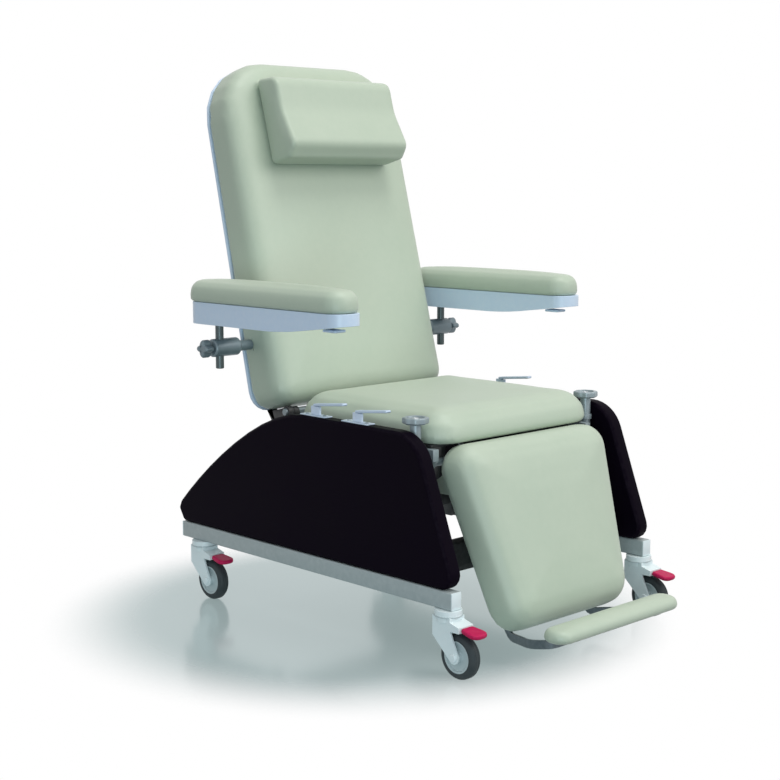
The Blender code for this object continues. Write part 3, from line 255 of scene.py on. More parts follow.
def grain_group(surface: Surface) -> bpy.types.NodeTree:
    """Surface grain: hide pebbles, moulded texture, powder coat, brushed lines or rubber.

    Args:
        surface: The kind of surface.

    Returns:
        A group with Height and Tone outputs.
    """
    name = f"grain_{surface.value}"
    found = bpy.data.node_groups.get(name)
    if found:
        return found
    group = shared_group(name, ("Scale",), ("Height", "Tone"))
    source, sink = group.nodes["Group Input"], group.nodes["Group Output"]
    place, scale = source.outputs["Vector"], source.outputs["Scale"]
    if surface is Surface.HIDE:
        cells = group.nodes.new("ShaderNodeTexVoronoi")
        cells.feature = "SMOOTH_F1"
        cells.inputs["Smoothness"].default_value = 0.35
        group.links.new(place, cells.inputs["Vector"])
        group.links.new(scale, cells.inputs["Scale"])
        fine = noise_of(group, place, maths(group, "MULTIPLY", scale, 2.7), 3.0)
        height = maths(group, "ADD", cells.outputs["Distance"], maths(group, "MULTIPLY", fine, 0.4))
    elif surface is Surface.BRUSHED:
        stretch = group.nodes.new("ShaderNodeMapping")
        stretch.inputs["Scale"].default_value = (1.0, 0.03, 1.0)
        group.links.new(place, stretch.inputs["Vector"])
        height = noise_of(group, stretch.outputs["Vector"], scale, 2.0)
    else:
        height = noise_of(group, place, scale, 4.0)
    group.links.new(height, sink.inputs["Height"])
    broad = noise_of(group, place, 6.0, 2.0)
    small = noise_of(group, place, 60.0, 3.0)
    tone = maths(group, "ADD", maths(group, "MULTIPLY", broad, 0.6), maths(group, "MULTIPLY", small, 0.4))
    spread = maths(group, "MULTIPLY_ADD", tone, 3.0, -1.0, clamp=True)
    group.links.new(spread, sink.inputs["Tone"])
    return group


def wear_group() -> bpy.types.NodeTree:
    """Faint wear along rounded edges, which the meshes mark in their edge attribute.

    Returns:
        A group with a Mask output.
    """
    found = bpy.data.node_groups.get("edge_wear")
    if found:
        return found
    group = shared_group("edge_wear", (), ("Mask",))
    source, sink = group.nodes["Group Input"], group.nodes["Group Output"]
    mark = group.nodes.new("ShaderNodeAttribute")
    mark.attribute_name = "edge"
    patches = noise_of(group, source.outputs["Vector"], 90.0, 4.0)
    broken = maths(group, "MULTIPLY_ADD", patches, 3.0, -1.2, clamp=True)
    mask = maths(group, "MULTIPLY", mark.outputs["Fac"], maths(group, "MULTIPLY", broken, 0.35))
    group.links.new(mask, sink.inputs["Mask"])
    return group


def dust_group() -> bpy.types.NodeTree:
    """Dust that thickens towards the floor.

    Returns:
        A group with an Amount input and a Mask output.
    """
    found = bpy.data.node_groups.get("floor_dust")
    if found:
        return found
    group = shared_group("floor_dust", ("Amount",), ("Mask",))
    source, sink = group.nodes["Group Input"], group.nodes["Group Output"]
    split = group.nodes.new("ShaderNodeSeparateXYZ")
    group.links.new(source.outputs["Vector"], split.inputs["Vector"])
    low = maths(group, "MULTIPLY_ADD", split.outputs["Z"], -5.0, 1.0, clamp=True)
    patches = noise_of(group, source.outputs["Vector"], 45.0, 5.0)
    mask = maths(group, "MULTIPLY", maths(group, "MULTIPLY", low, patches), source.outputs["Amount"])
    group.links.new(mask, sink.inputs["Mask"])
    return group


VINYL = Finish(
    "sage_vinyl", Surface.HIDE, (0.442, 0.522, 0.416), (0.472, 0.544, 0.438), (0.52, 0.59, 0.49),
    roughness=0.44, sheen=0.12, grain=650.0, depth=0.00012,
)
WHITE = Finish(
    "white_moulding", Surface.MOULDED, (0.60, 0.73, 0.90), (0.63, 0.755, 0.91), (0.70, 0.79, 0.92),
    roughness=0.36, coat=0.08, grain=1400.0, depth=0.00004,
)
PANEL = Finish(
    "aubergine_moulding", Surface.MOULDED,
    (0.0032, 0.0016, 0.0050), (0.0040, 0.0021, 0.0061), (0.014, 0.011, 0.017),
    roughness=0.46, specular=0.02, grain=1100.0, depth=0.00006,
)
RAIL = Finish(
    "rail_coat", Surface.COATED, (0.315, 0.365, 0.370), (0.345, 0.395, 0.400), (0.46, 0.50, 0.50),
    roughness=0.40, coat=0.05, grain=1800.0, depth=0.00004, dust=0.10,
)
FRAME = Finish(
    "frame_coat", Surface.COATED, (0.016, 0.017, 0.018), (0.022, 0.023, 0.025), (0.08, 0.08, 0.085),
    roughness=0.48, grain=1800.0, depth=0.00005, dust=0.2,
)
STEEL = Finish(
    "brushed_steel", Surface.BRUSHED, (0.50, 0.53, 0.56), (0.56, 0.59, 0.62), (0.72, 0.74, 0.76),
    roughness=0.32, metallic=0.85, grain=1500.0, depth=0.00002,
)
LEVER = Finish(
    "lever_coat", Surface.COATED, (0.50, 0.60, 0.74), (0.54, 0.64, 0.77), (0.66, 0.73, 0.81),
    roughness=0.34, metallic=0.2, grain=1600.0, depth=0.00004,
)
CASTER = Finish(
    "caster_moulding", Surface.MOULDED, (0.73, 0.83, 0.85), (0.76, 0.85, 0.87), (0.80, 0.86, 0.87),
    roughness=0.38, coat=0.08, grain=1400.0, depth=0.00004, dust=0.10,
)
TYRE = Finish(
    "tyre_rubber", Surface.RUBBER, (0.016, 0.026, 0.031), (0.023, 0.034, 0.040), (0.05, 0.062, 0.068),
    roughness=0.55, specular=0.25, grain=900.0, depth=0.00008, dust=0.12,
)
HUB = Finish(
    "hub_moulding", Surface.MOULDED, (0.43, 0.51, 0.525), (0.47, 0.55, 0.565), (0.56, 0.61, 0.62),
    roughness=0.42, grain=1400.0, depth=0.00004, dust=0.15,
)
PEDAL = Finish(
    "raspberry_moulding", Surface.MOULDED, (0.47, 0.007, 0.078), (0.52, 0.010, 0.090), (0.60, 0.04, 0.12),
    roughness=0.40, specular=0.10, grain=1200.0, depth=0.00005, dust=0.04,
)
STRAP = Finish(
    "strap_coat", Surface.COATED, (0.080, 0.110, 0.126), (0.098, 0.128, 0.144), (0.20, 0.23, 0.25),
    roughness=0.42, metallic=0.3, grain=1600.0, depth=0.00004, dust=0.12,
)
CLAMP = Finish(
    "clamp_casting", Surface.COATED, (0.150, 0.198, 0.222), (0.180, 0.228, 0.252), (0.34, 0.39, 0.42),
    roughness=0.36, metallic=0.25, grain=1500.0, depth=0.00005,
)
ALLOY = Finish(
    "cast_alloy", Surface.COATED, (0.25, 0.305, 0.33), (0.29, 0.345, 0.37), (0.44, 0.49, 0.51),
    roughness=0.36, metallic=0.25, grain=1500.0, depth=0.00005,
)
POST = Finish(
    "post_steel", Surface.BRUSHED, (0.065, 0.088, 0.092), (0.080, 0.104, 0.108), (0.18, 0.21, 0.21),
    roughness=0.36, metallic=0.5, grain=1500.0, depth=0.00002,
)
# Flat black used only to paint the shade inside the backrest's slot openings.
RECESS_SHADE = Finish(
    "painted_recess_shade", Surface.MOULDED, (0.004, 0.004, 0.005), (0.006, 0.006, 0.007), (0.02, 0.02, 0.02),
    roughness=0.5, specular=0.1, grain=1400.0, depth=0.00004,
)


def body_of(node: str) -> str:
    """Name of the body that carries a node."""
    bodies = frame["record"]["behaviour"]["bodies"]
    return next(name for name, nodes in bodies.items() if node in nodes)


def corners(node: str) -> tuple[Vector, Vector]:
    """Lowest and highest corner of a node's box."""
    low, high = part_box(node)
    return Vector(low), Vector(high)


def middle(node: str) -> Vector:
    """Middle of a node's box."""
    low, high = corners(node)
    return (low + high) / 2


def shown(
    name: str, shell: bmesh.types.BMesh, finishes: list[Finish], node: str, replaced: bool = True,
) -> bpy.types.Object:
    """Finishes a piece: its object, materials, shading, body and the node it stands for.

    Args:
        name: The piece's name.
        shell: Its bmesh, which is freed.
        finishes: Its finishes, in the order of the faces' material numbers.
        node: The node it stands for or rides with.
        replaced: True if it stands for the node.

    Returns:
        The new object.
    """
    mesh = bpy.data.meshes.new(name)
    shell.to_mesh(mesh)
    shell.free()
    for finish in finishes:
        mesh.materials.append(finish.material())
    mesh.shade_smooth()
    mesh.set_sharp_from_angle(angle=SHARP_ANGLE)
    piece = bpy.data.objects.new(name, mesh)
    bpy.context.scene.collection.objects.link(piece)
    if replaced:
        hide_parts(node)
    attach(piece, body_of(node))
    LOG.info("%s: %d faces", name, len(mesh.polygons))
    return piece


def merged_copy(node: str, flat: float = 1.0) -> bmesh.types.BMesh:
    """Copy of a node's mesh with its loose triangles merged and its flat faces joined.

    Args:
        node: The node.
        flat: The angle in degrees up to which faces are joined, or 0 to leave the triangles.

    Returns:
        The copy.
    """
    shell = bmesh.new()
    shell.from_mesh(frame["nodes"][node].data)
    bmesh.ops.remove_doubles(shell, verts=shell.verts, dist=MERGE_DISTANCE)
    if flat:
        bmesh.ops.dissolve_limit(shell, angle_limit=math.radians(flat), verts=shell.verts, edges=shell.edges)
    return shell


def rounded_edges(shell: bmesh.types.BMesh, width: float, segments: int = 3, least: float = 32.0) -> None:
    """Rounds the sharp edges of a mesh and marks them in its edge attribute.

    Args:
        shell: The mesh.
        width: The width of the rounding.
        segments: Its segments.
        least: The least angle in degrees of an edge that is rounded.
    """
    limit = math.radians(least)
    edges = [edge for edge in shell.edges if edge.is_manifold and edge.calc_face_angle(0.0) > limit]
    done = bmesh.ops.bevel(
        shell, geom=edges, offset=width, offset_type="OFFSET", segments=segments, profile=0.5,
        affect="EDGES", clamp_overlap=True, material=-1,
    )
    mark = shell.verts.layers.float.new("edge")
    for face in done["faces"]:
        for vert in face.verts:
            vert[mark] = 1.0


def refined(
    node: str, finish: Finish, width: float, segments: int = 3, least: float = 32.0,
) -> bpy.types.Object:
    """Piece of a node's own shape with rounded edges.

    Args:
        node: The node it stands for.
        finish: Its finish.
        width: The width of the rounding.
        segments: Its segments.
        least: The least angle in degrees of an edge that is rounded.

    Returns:
        The new object.
    """
    shell = merged_copy(node)
    rounded_edges(shell, width, segments, least)
    return shown(f"{node}_skin", shell, [finish], node)


def ring(
    shell: bmesh.types.BMesh, points: list[tuple[float, float]], centre: Vector, axis: str, steps: int,
    number: int = 0,
) -> None:
    """Spins a profile round an axis into a mesh.

    Args:
        shell: The mesh it joins.
        points: Profile points as radius and distance along the axis.
        centre: A point on the axis.
        axis: X or Z.
        steps: Steps of the full turn.
        number: The material number of its faces.
    """
    verts = []
    for radius, distance in points:
        place = (distance, 0.0, radius) if axis == "X" else (radius, 0.0, distance)
        verts.append(shell.verts.new(centre + Vector(place)))
    edges = [shell.edges.new(pair) for pair in zip(verts, verts[1:])]
    before = set(shell.faces)
    bmesh.ops.spin(
        shell, geom=verts + edges, cent=centre, axis=(1, 0, 0) if axis == "X" else (0, 0, 1),
        angle=math.tau, steps=steps, use_merge=True, use_duplicate=False,
    )
    bmesh.ops.remove_doubles(shell, verts=shell.verts, dist=SPIN_MERGE)
    fresh = [face for face in shell.faces if face not in before]
    for face in fresh:
        face.material_index = number
    bmesh.ops.recalc_face_normals(shell, faces=fresh)


def eased_corner(
    points: list[tuple[float, float]], radius: float, steps: int = 3,
) -> list[tuple[float, float]]:
    """Profile with each inner corner turned in a short curve.

    Args:
        points: The profile's points.
        radius: How far before and after a corner its curve runs.
        steps: Steps of each curve.

    Returns:
        The eased profile.
    """
    path = [points[0]]
    for before, here, after in zip(points, points[1:], points[2:]):
        corner = Vector(here)
        back, ahead = Vector(before) - corner, Vector(after) - corner
        start = corner + back.normalized() * min(radius, back.length * CURVE_SHARE)
        end = corner + ahead.normalized() * min(radius, ahead.length * CURVE_SHARE)
        for number in range(steps + 1):
            share = number / steps
            path.append(tuple(start.lerp(corner, share).lerp(corner.lerp(end, share), share)))
    return path + [points[-1]]


def both_sides(side: list[tuple[float, float]]) -> list[tuple[float, float]]:
    """Profile of one side followed by its mirror image."""
    return side + [(reach, -out) for reach, out in reversed(side)]


FAIR_IN = 0.50
FAIR_OUT = 0.52
HELD_FACING = 0.75
CLOTH_STEPS = 20
CLOTH_PRESSURE = 4.0
CLOTH_MASS = 0.3
CLOTH_STRETCH = 20.0
CLOTH_BENDING = 2.0
DISH_FACING = 0.2


def averaged(edges: np.ndarray, values: np.ndarray) -> np.ndarray:
    """Mean of each point's value and its neighbours' values.

    Args:
        edges: Two point numbers for each edge.
        values: A number or a place for each point.

    Returns:
        The means.
    """
    total = values.copy()
    count = np.ones(len(values))
    for here, there in ((0, 1), (1, 0)):
        np.add.at(total, edges[:, here], values[edges[:, there]])
        np.add.at(count, edges[:, here], 1.0)
    return total / (count if values.ndim == 1 else count[:, None])


@dataclass(frozen=True)
class Pad:
    """Padded piece: its node, how it rests, and how its cover is drawn tight over the foam."""

    node: str
    rest: tuple[float, float, float]
    voxel: float
    swelling: float
    fill: float
    dish: float = 0.0
    dish_half: tuple[float, float] = (0.2, 0.2)
    dish_rise: float = 0.0
    smoothing: int = 2
    evening: int = 10
    tightness: float = 0.9
    fairing: int = 90
    ease: float = 0.0012

    def start(self) -> bpy.types.Object:
        """Object with an even mesh drawn tight on the node's solid and then faired.

        Returns:
            The unsimulated object.
        """
        shell = merged_copy(self.node, 0.0)
        solid = BVHTree.FromBMesh(shell)
        mesh = bpy.data.meshes.new(f"{self.node}_cover")
        shell.to_mesh(mesh)
        shell.free()
        rough = bpy.data.objects.new(f"{self.node}_rough", mesh)
        bpy.context.scene.collection.objects.link(rough)
        remesh = rough.modifiers.new("even", "REMESH")
        remesh.mode = "VOXEL"
        remesh.voxel_size = self.voxel
        graph = bpy.context.evaluated_depsgraph_get()
        even = bpy.data.meshes.new_from_object(rough.evaluated_get(graph))
        bpy.data.objects.remove(rough)
        shell = bmesh.new()
        shell.from_mesh(even)
        bpy.data.meshes.remove(even)
        for _ in range(self.smoothing):
            bmesh.ops.smooth_vert(
                shell, verts=shell.verts, factor=0.5, use_axis_x=True, use_axis_y=True, use_axis_z=True,
            )
        for vert in shell.verts:
            vert.co = vert.co.lerp(solid.find_nearest(vert.co)[0], self.tightness)
        points = np.array([vert.co for vert in shell.verts])
        edges = np.array([[vert.index for vert in edge.verts] for edge in shell.edges])
        for _ in range(self.fairing):
            points += FAIR_IN * (averaged(edges, points) - points)
            points -= FAIR_OUT * (averaged(edges, points) - points)
        for vert, point in zip(shell.verts, points):
            move = Vector(point) - vert.co
            vert.co += move * min(1.0, self.ease / max(move.length, self.ease))
        mesh = bpy.data.meshes.new(f"{self.node}_cover")
        shell.to_mesh(mesh)
        shell.free()
        cover = bpy.data.objects.new(f"{self.node}_cover", mesh)
        bpy.context.scene.collection.objects.link(cover)
        return cover

    def swell(self, cover: bpy.types.Object) -> None:
        """Blows the cover up, and keeps the outward part of its movement up to the cap.

        Args:
            cover: The object to swell.
        """
        rest = Vector(self.rest)
        held = cover.vertex_groups.new(name="held")
        under = [vert.index for vert in cover.data.vertices if vert.normal.dot(rest) > HELD_FACING]
        held.add(under, 1.0, "REPLACE")
        before = [vert.co.copy() for vert in cover.data.vertices]
        cloth = cover.modifiers.new("cover", "CLOTH")
        cloth.settings.quality = 4
        cloth.settings.mass = CLOTH_MASS
        cloth.settings.tension_stiffness = CLOTH_STRETCH
        cloth.settings.compression_stiffness = CLOTH_STRETCH
        cloth.settings.bending_stiffness = CLOTH_BENDING
        cloth.settings.use_pressure = True
        cloth.settings.uniform_pressure_force = CLOTH_PRESSURE
        cloth.settings.vertex_group_mass = "held"
        cloth.settings.effector_weights.gravity = 0.0
        cloth.collision_settings.use_collision = False
        scene = bpy.context.scene
        for number in range(1, CLOTH_STEPS + 1):
            scene.frame_set(number)
        graph = bpy.context.evaluated_depsgraph_get()
        after = [vert.co.copy() for vert in cover.evaluated_get(graph).data.vertices]
        cover.modifiers.remove(cloth)
        cover.vertex_groups.remove(held)
        scene.frame_set(1)
        outward = [vert.normal.copy() for vert in cover.data.vertices]
        lifts = np.array([(new - old).dot(out) for old, new, out in zip(before, after, outward)])
        lifts = np.clip(lifts, 0.0, self.swelling)
        edges = np.array([edge.vertices for edge in cover.data.edges])
        for _ in range(self.evening):
            lifts = averaged(edges, lifts)
        for vert, old, out, lift in zip(cover.data.vertices, before, outward, lifts):
            vert.co = old + out * float(lift)

    def hollow(self, cover: bpy.types.Object) -> None:
        """Presses the shallow hollow where the body rests.

        Args:
            cover: The object to press.
        """
        face = -Vector(self.rest)
        up = Vector((0.0, 0.0, 1.0)) if abs(face.z) < 0.7 else Vector((0.0, 1.0, 0.0))
        centre = middle(self.node) + up * self.dish_rise
        wide, long = self.dish_half
        for vert in cover.data.vertices:
            if vert.normal.dot(face) < DISH_FACING:
                continue
            offset = vert.co - centre
            across = abs(offset.x) / wide
            length = abs(offset.dot(up)) / long
            if across < 1.0 and length < 1.0:
                share = (1 - across * across) ** 2 * (1 - length * length) ** 2
                vert.co -= face * self.dish * share

    def build(self) -> bpy.types.Object:
        """Makes the pad, swells it and dresses it.

        Returns:
            The finished piece.
        """
        cover = self.start()
        self.swell(cover)
        if self.dish:
            self.hollow(cover)
        cover.data.materials.append(VINYL.material())
        cover.data.shade_smooth()
        finer = cover.modifiers.new("finer", "SUBSURF")
        finer.levels = 1
        finer.render_levels = 1
        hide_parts(self.node)
        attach(cover, body_of(self.node))
        LOG.info("%s: %d faces", cover.name, len(cover.data.polygons))
        return cover


BACK_LEAN = math.radians(14)
LEG_LEAN = math.radians(19)
DOWN = (0.0, 0.0, -1.0)
BACK_REST = (0.0, math.cos(BACK_LEAN), -math.sin(BACK_LEAN))
LEG_REST = (0.0, math.cos(LEG_LEAN), -math.sin(LEG_LEAN))
PADS: tuple[Pad, ...] = (
    Pad("seat_cushion", DOWN, 0.0065, 0.004, 0.8, dish=0.006, dish_half=(0.21, 0.20)),
    Pad("back_cushion", BACK_REST, 0.008, 0.002, 0.85, dish=0.008, dish_half=(0.20, 0.30), dish_rise=-0.08),
    Pad("headrest_cushion", BACK_REST, 0.004, 0.001, 0.9),
    Pad("leg_cushion", LEG_REST, 0.0065, 0.002, 0.85),
    Pad("arm_pad_right", DOWN, 0.004, 0.0015, 0.9),
    Pad("arm_pad_left", DOWN, 0.004, 0.0015, 0.9),
    Pad("foot_pad", DOWN, 0.004, 0.001, 0.9),
)


@dataclass(frozen=True)
class Base:
    """Rails, beams, side frames, seat board and panels."""

    rail_round: float = 0.0025
    plate_round: float = 0.0015
    panel_round: float = 0.004
    cap_thickness: float = 0.0025
    cap_inset: float = 0.0006
    cap_round: float = 0.0008
    cap_stand: float = 0.3
    axle_chamfer: float = 0.0015

    def build(self) -> None:
        """Builds the base's pieces."""
        for side in SIDES:
            refined(f"rail_{side}", RAIL, self.rail_round)
            self.rail_caps(f"rail_{side}")
            refined(f"side_frame_{side}", FRAME, self.plate_round, 2)
            softened = refined(f"side_panel_{side}", PANEL, self.panel_round, 3, 24.0)
            even_shading(softened)
        for place in PLACES:
            refined(f"cross_beam_{place}", FRAME, self.plate_round, 2)
        refined("seat_board", FRAME, self.plate_round, 2)
        self.axle()

    def rail_caps(self, node: str) -> None:
        """Plastic cap in each end of a rail.

        Args:
            node: The rail's node.
        """
        low, high = corners(node)
        shell = bmesh.new()
        for end, out in ((low.y, -1), (high.y, 1)):
            wide, tall = high.x - low.x - 2 * self.cap_inset, high.z - low.z - 2 * self.cap_inset
            stand = end + out * self.cap_thickness * self.cap_stand
            at = Vector(((low.x + high.x) / 2, stand, (low.z + high.z) / 2))
            size = Matrix.Diagonal((wide, self.cap_thickness, tall, 1.0))
            bmesh.ops.create_cube(shell, size=1.0, matrix=Matrix.Translation(at) @ size)
        rounded_edges(shell, self.cap_round, 2)
        shown(f"{node}_caps", shell, [CASTER], node, replaced=False)

    def axle(self) -> None:
        """The backrest's axle with chamfered ends."""
        low, high = corners("back_axle")
        radius = (high.z - low.z) / 2
        face = radius - self.axle_chamfer
        profile = [(0.0, low.x), (face, low.x), (radius, low.x + self.axle_chamfer)]
        profile += [(radius, high.x - self.axle_chamfer), (face, high.x), (0.0, high.x)]
        shell = bmesh.new()
        centre = middle("back_axle")
        ring(shell, profile, Vector((0.0, centre.y, centre.z)), "X", 40)
        shown("back_axle_skin", shell, [ALLOY], "back_axle")


def even_shading(piece: bpy.types.Object) -> None:
    """Keeps large faces flat in their shading beside rounded edges."""
    weighted = piece.modifiers.new("even_shading", "WEIGHTED_NORMAL")
    weighted.keep_sharp = True


@dataclass(frozen=True)
class Casters:
    """Four braked casters: wheel with tyre and hub, fork, axle bolts and pedal."""

    steps: int = 64
    tyre: float = 0.013
    fork_round: float = 0.0022
    pedal_round: float = 0.0012
    eye_reach: float = 0.0252
    swivel_setback: float = 0.031

    def build(self) -> None:
        """Builds every caster's pieces."""
        for side in SIDES:
            for place in PLACES:
                name = f"{place}_{side}"
                self.wheel(f"caster_wheel_{name}")
                even_shading(refined(f"caster_fork_{name}", CASTER, self.fork_round, 3, 28.0))
                self.bolts(f"caster_fork_{name}", f"caster_wheel_{name}")
                even_shading(refined(f"brake_pedal_{name}", PEDAL, self.pedal_round, 3, 20.0))

    def wheel(self, node: str) -> None:
        """Tyre with a tread groove each side of its crown, on a hub with a rim and a sunk disc.

        Args:
            node: The wheel's node.
        """
        low, high = corners(node)
        centre = middle(node)
        radius = centre.z
        boss = (high.x - low.x) / 2
        half = boss - 0.0027
        hub = radius - self.tyre
        shell = bmesh.new()
        side = [(hub - 0.002, half - 0.0015), (hub, half), (hub + 0.004, half)]
        side += [(radius - 0.003, half - 0.0035), (radius, half - 0.0085), (radius, half - 0.0105)]
        side += [(radius - 0.0012, half - 0.0110), (radius, half - 0.0115)]
        ring(shell, eased_corner(both_sides(side), 0.0015), centre, "X", self.steps, 0)
        disc = [(0.0065, boss - 0.0004), (0.0125, boss - 0.0004), (0.0135, half - 0.006)]
        disc += [(hub - 0.007, half - 0.006), (hub - 0.005, half - 0.001)]
        disc += [(hub - 0.001, half - 0.001), (hub - 0.001, half - 0.003)]
        ring(shell, eased_corner(both_sides(disc), 0.001), centre, "X", self.steps, 1)
        shown(f"{node}_skin", shell, [TYRE, HUB], node)

    def bolts(self, fork: str, wheel: str) -> None:
        """Flat round cap on each end of the axle, and a ring under the swivel head.

        Args:
            fork: The fork's node.
            wheel: The wheel's node.
        """
        axle = middle(wheel)
        shell = bmesh.new()
        for out in (-1, 1):
            cap = [(0.0, self.eye_reach + 0.0022), (0.0075, self.eye_reach + 0.0022)]
            cap += [(0.0090, self.eye_reach + 0.0010), (0.0090, self.eye_reach - 0.0010)]
            ring(shell, eased_corner([(reach, out * at) for reach, at in cap], 0.0005), axle, "X", 40)
        shown(f"{fork}_caps", shell, [CASTER], fork, replaced=False)
        _, rear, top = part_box(fork)[1]
        swivel = Vector((middle(fork).x, rear - self.swivel_setback, 0.0))
        shell = bmesh.new()
        ridge = [(0.0295, top - 0.0145), (0.0322, top - 0.0135)]
        ridge += [(0.0322, top - 0.0115), (0.0295, top - 0.0105)]
        ring(shell, eased_corner(ridge, 0.0008), swivel, "Z", self.steps)
        shown(f"{fork}_seal", shell, [HUB], fork, replaced=False)


@dataclass(frozen=True)
class Controls:
    """Accessory posts with clamp knobs, and the release levers."""

    steps: int = 56
    lobes: int = 8
    scallop: float = 0.0013
    lever_round: float = 0.0009
    collar_step: float = 0.0034
    collar_height: float = 0.012
    collars_at: tuple[float, float] = (0.402, 0.474)
    foot_chamfer: float = 0.002
    screw_offset: float = 0.030

    def build(self) -> None:
        """Builds the posts, knobs and levers."""
        for side in SIDES:
            self.post(f"accessory_post_{side}")
            self.knob(f"accessory_knob_{side}")
        for place in LEVERS:
            refined(f"lever_base_{place}", LEVER, self.lever_round, 2)
            refined(f"lever_{place}", LEVER, self.lever_round, 2, 50.0)
            self.screws(f"lever_base_{place}")

    def post(self, node: str) -> None:
        """Post with its two collars and a chamfered foot.

        Args:
            node: The post's node.
        """
        low, high = corners(node)
        centre = Vector((middle(node).x, middle(node).y, 0.0))
        collar = (high.x - low.x) / 2
        stem = collar - self.collar_step
        profile = [(0.0, low.z), (stem - self.foot_chamfer, low.z), (stem, low.z + self.foot_chamfer)]
        for start in self.collars_at:
            end = start + self.collar_height
            profile += [(stem, start), (collar, start), (collar, end), (stem, end)]
        profile += [(stem, high.z), (0.0, high.z)]
        shell = bmesh.new()
        ring(shell, eased_corner(profile, 0.0008), centre, "Z", self.steps)
        shown(f"{node}_skin", shell, [ALLOY], node)

    def knob(self, node: str) -> None:
        """Scalloped clamp knob with a sunk top and a socket screw in it.

        Args:
            node: The knob's node.
        """
        low, high = corners(node)
        centre = Vector((middle(node).x, middle(node).y, 0.0))
        radius = (high.x - low.x) / 2
        profile = [(0.0, low.z), (radius - 0.004, low.z), (radius, low.z + 0.003), (radius, high.z - 0.002)]
        profile += [(radius - 0.002, high.z), (0.0205, high.z)]
        profile += [(0.0195, high.z - 0.0046), (0.0, high.z - 0.0046)]
        shell = bmesh.new()
        ring(shell, eased_corner(profile, 0.001), centre, "Z", 96)
        for vert in shell.verts:
            across = Vector((vert.co.x - centre.x, vert.co.y - centre.y))
            if across.length > radius - 0.006:
                wave = math.cos(self.lobes * math.atan2(across.y, across.x))
                vert.co.xy = centre.xy + across * (1 - self.scallop * (1 - wave) / radius)
        shown(f"{node}_skin", shell, [ALLOY], node)
        shell = bmesh.new()
        screw = [(0.0, high.z - 0.0040), (0.0035, high.z - 0.0040), (0.0040, high.z - 0.0014)]
        screw += [(0.0062, high.z - 0.0014), (0.0075, high.z - 0.0024), (0.0075, high.z - 0.0048)]
        ring(shell, eased_corner(screw, 0.0004), centre, "Z", 32)
        shown(f"{node}_screw", shell, [STEEL], node, replaced=False)

    def screws(self, base: str) -> None:
        """Two screws in a lever's plate.

        Args:
            base: The plate's node.
        """
        centre = middle(base)
        shell = bmesh.new()
        for out in (-1, 1):
            at = Vector((centre.x, centre.y + out * self.screw_offset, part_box(base)[0][2] + 0.0036))
            bmesh.ops.create_uvsphere(
                shell, u_segments=20, v_segments=8, radius=0.0042,
                matrix=Matrix.Translation(at) @ Matrix.Diagonal((1.0, 1.0, 0.45, 1.0)),
            )
        shown(f"{base}_screws", shell, [ALLOY], base, replaced=False)


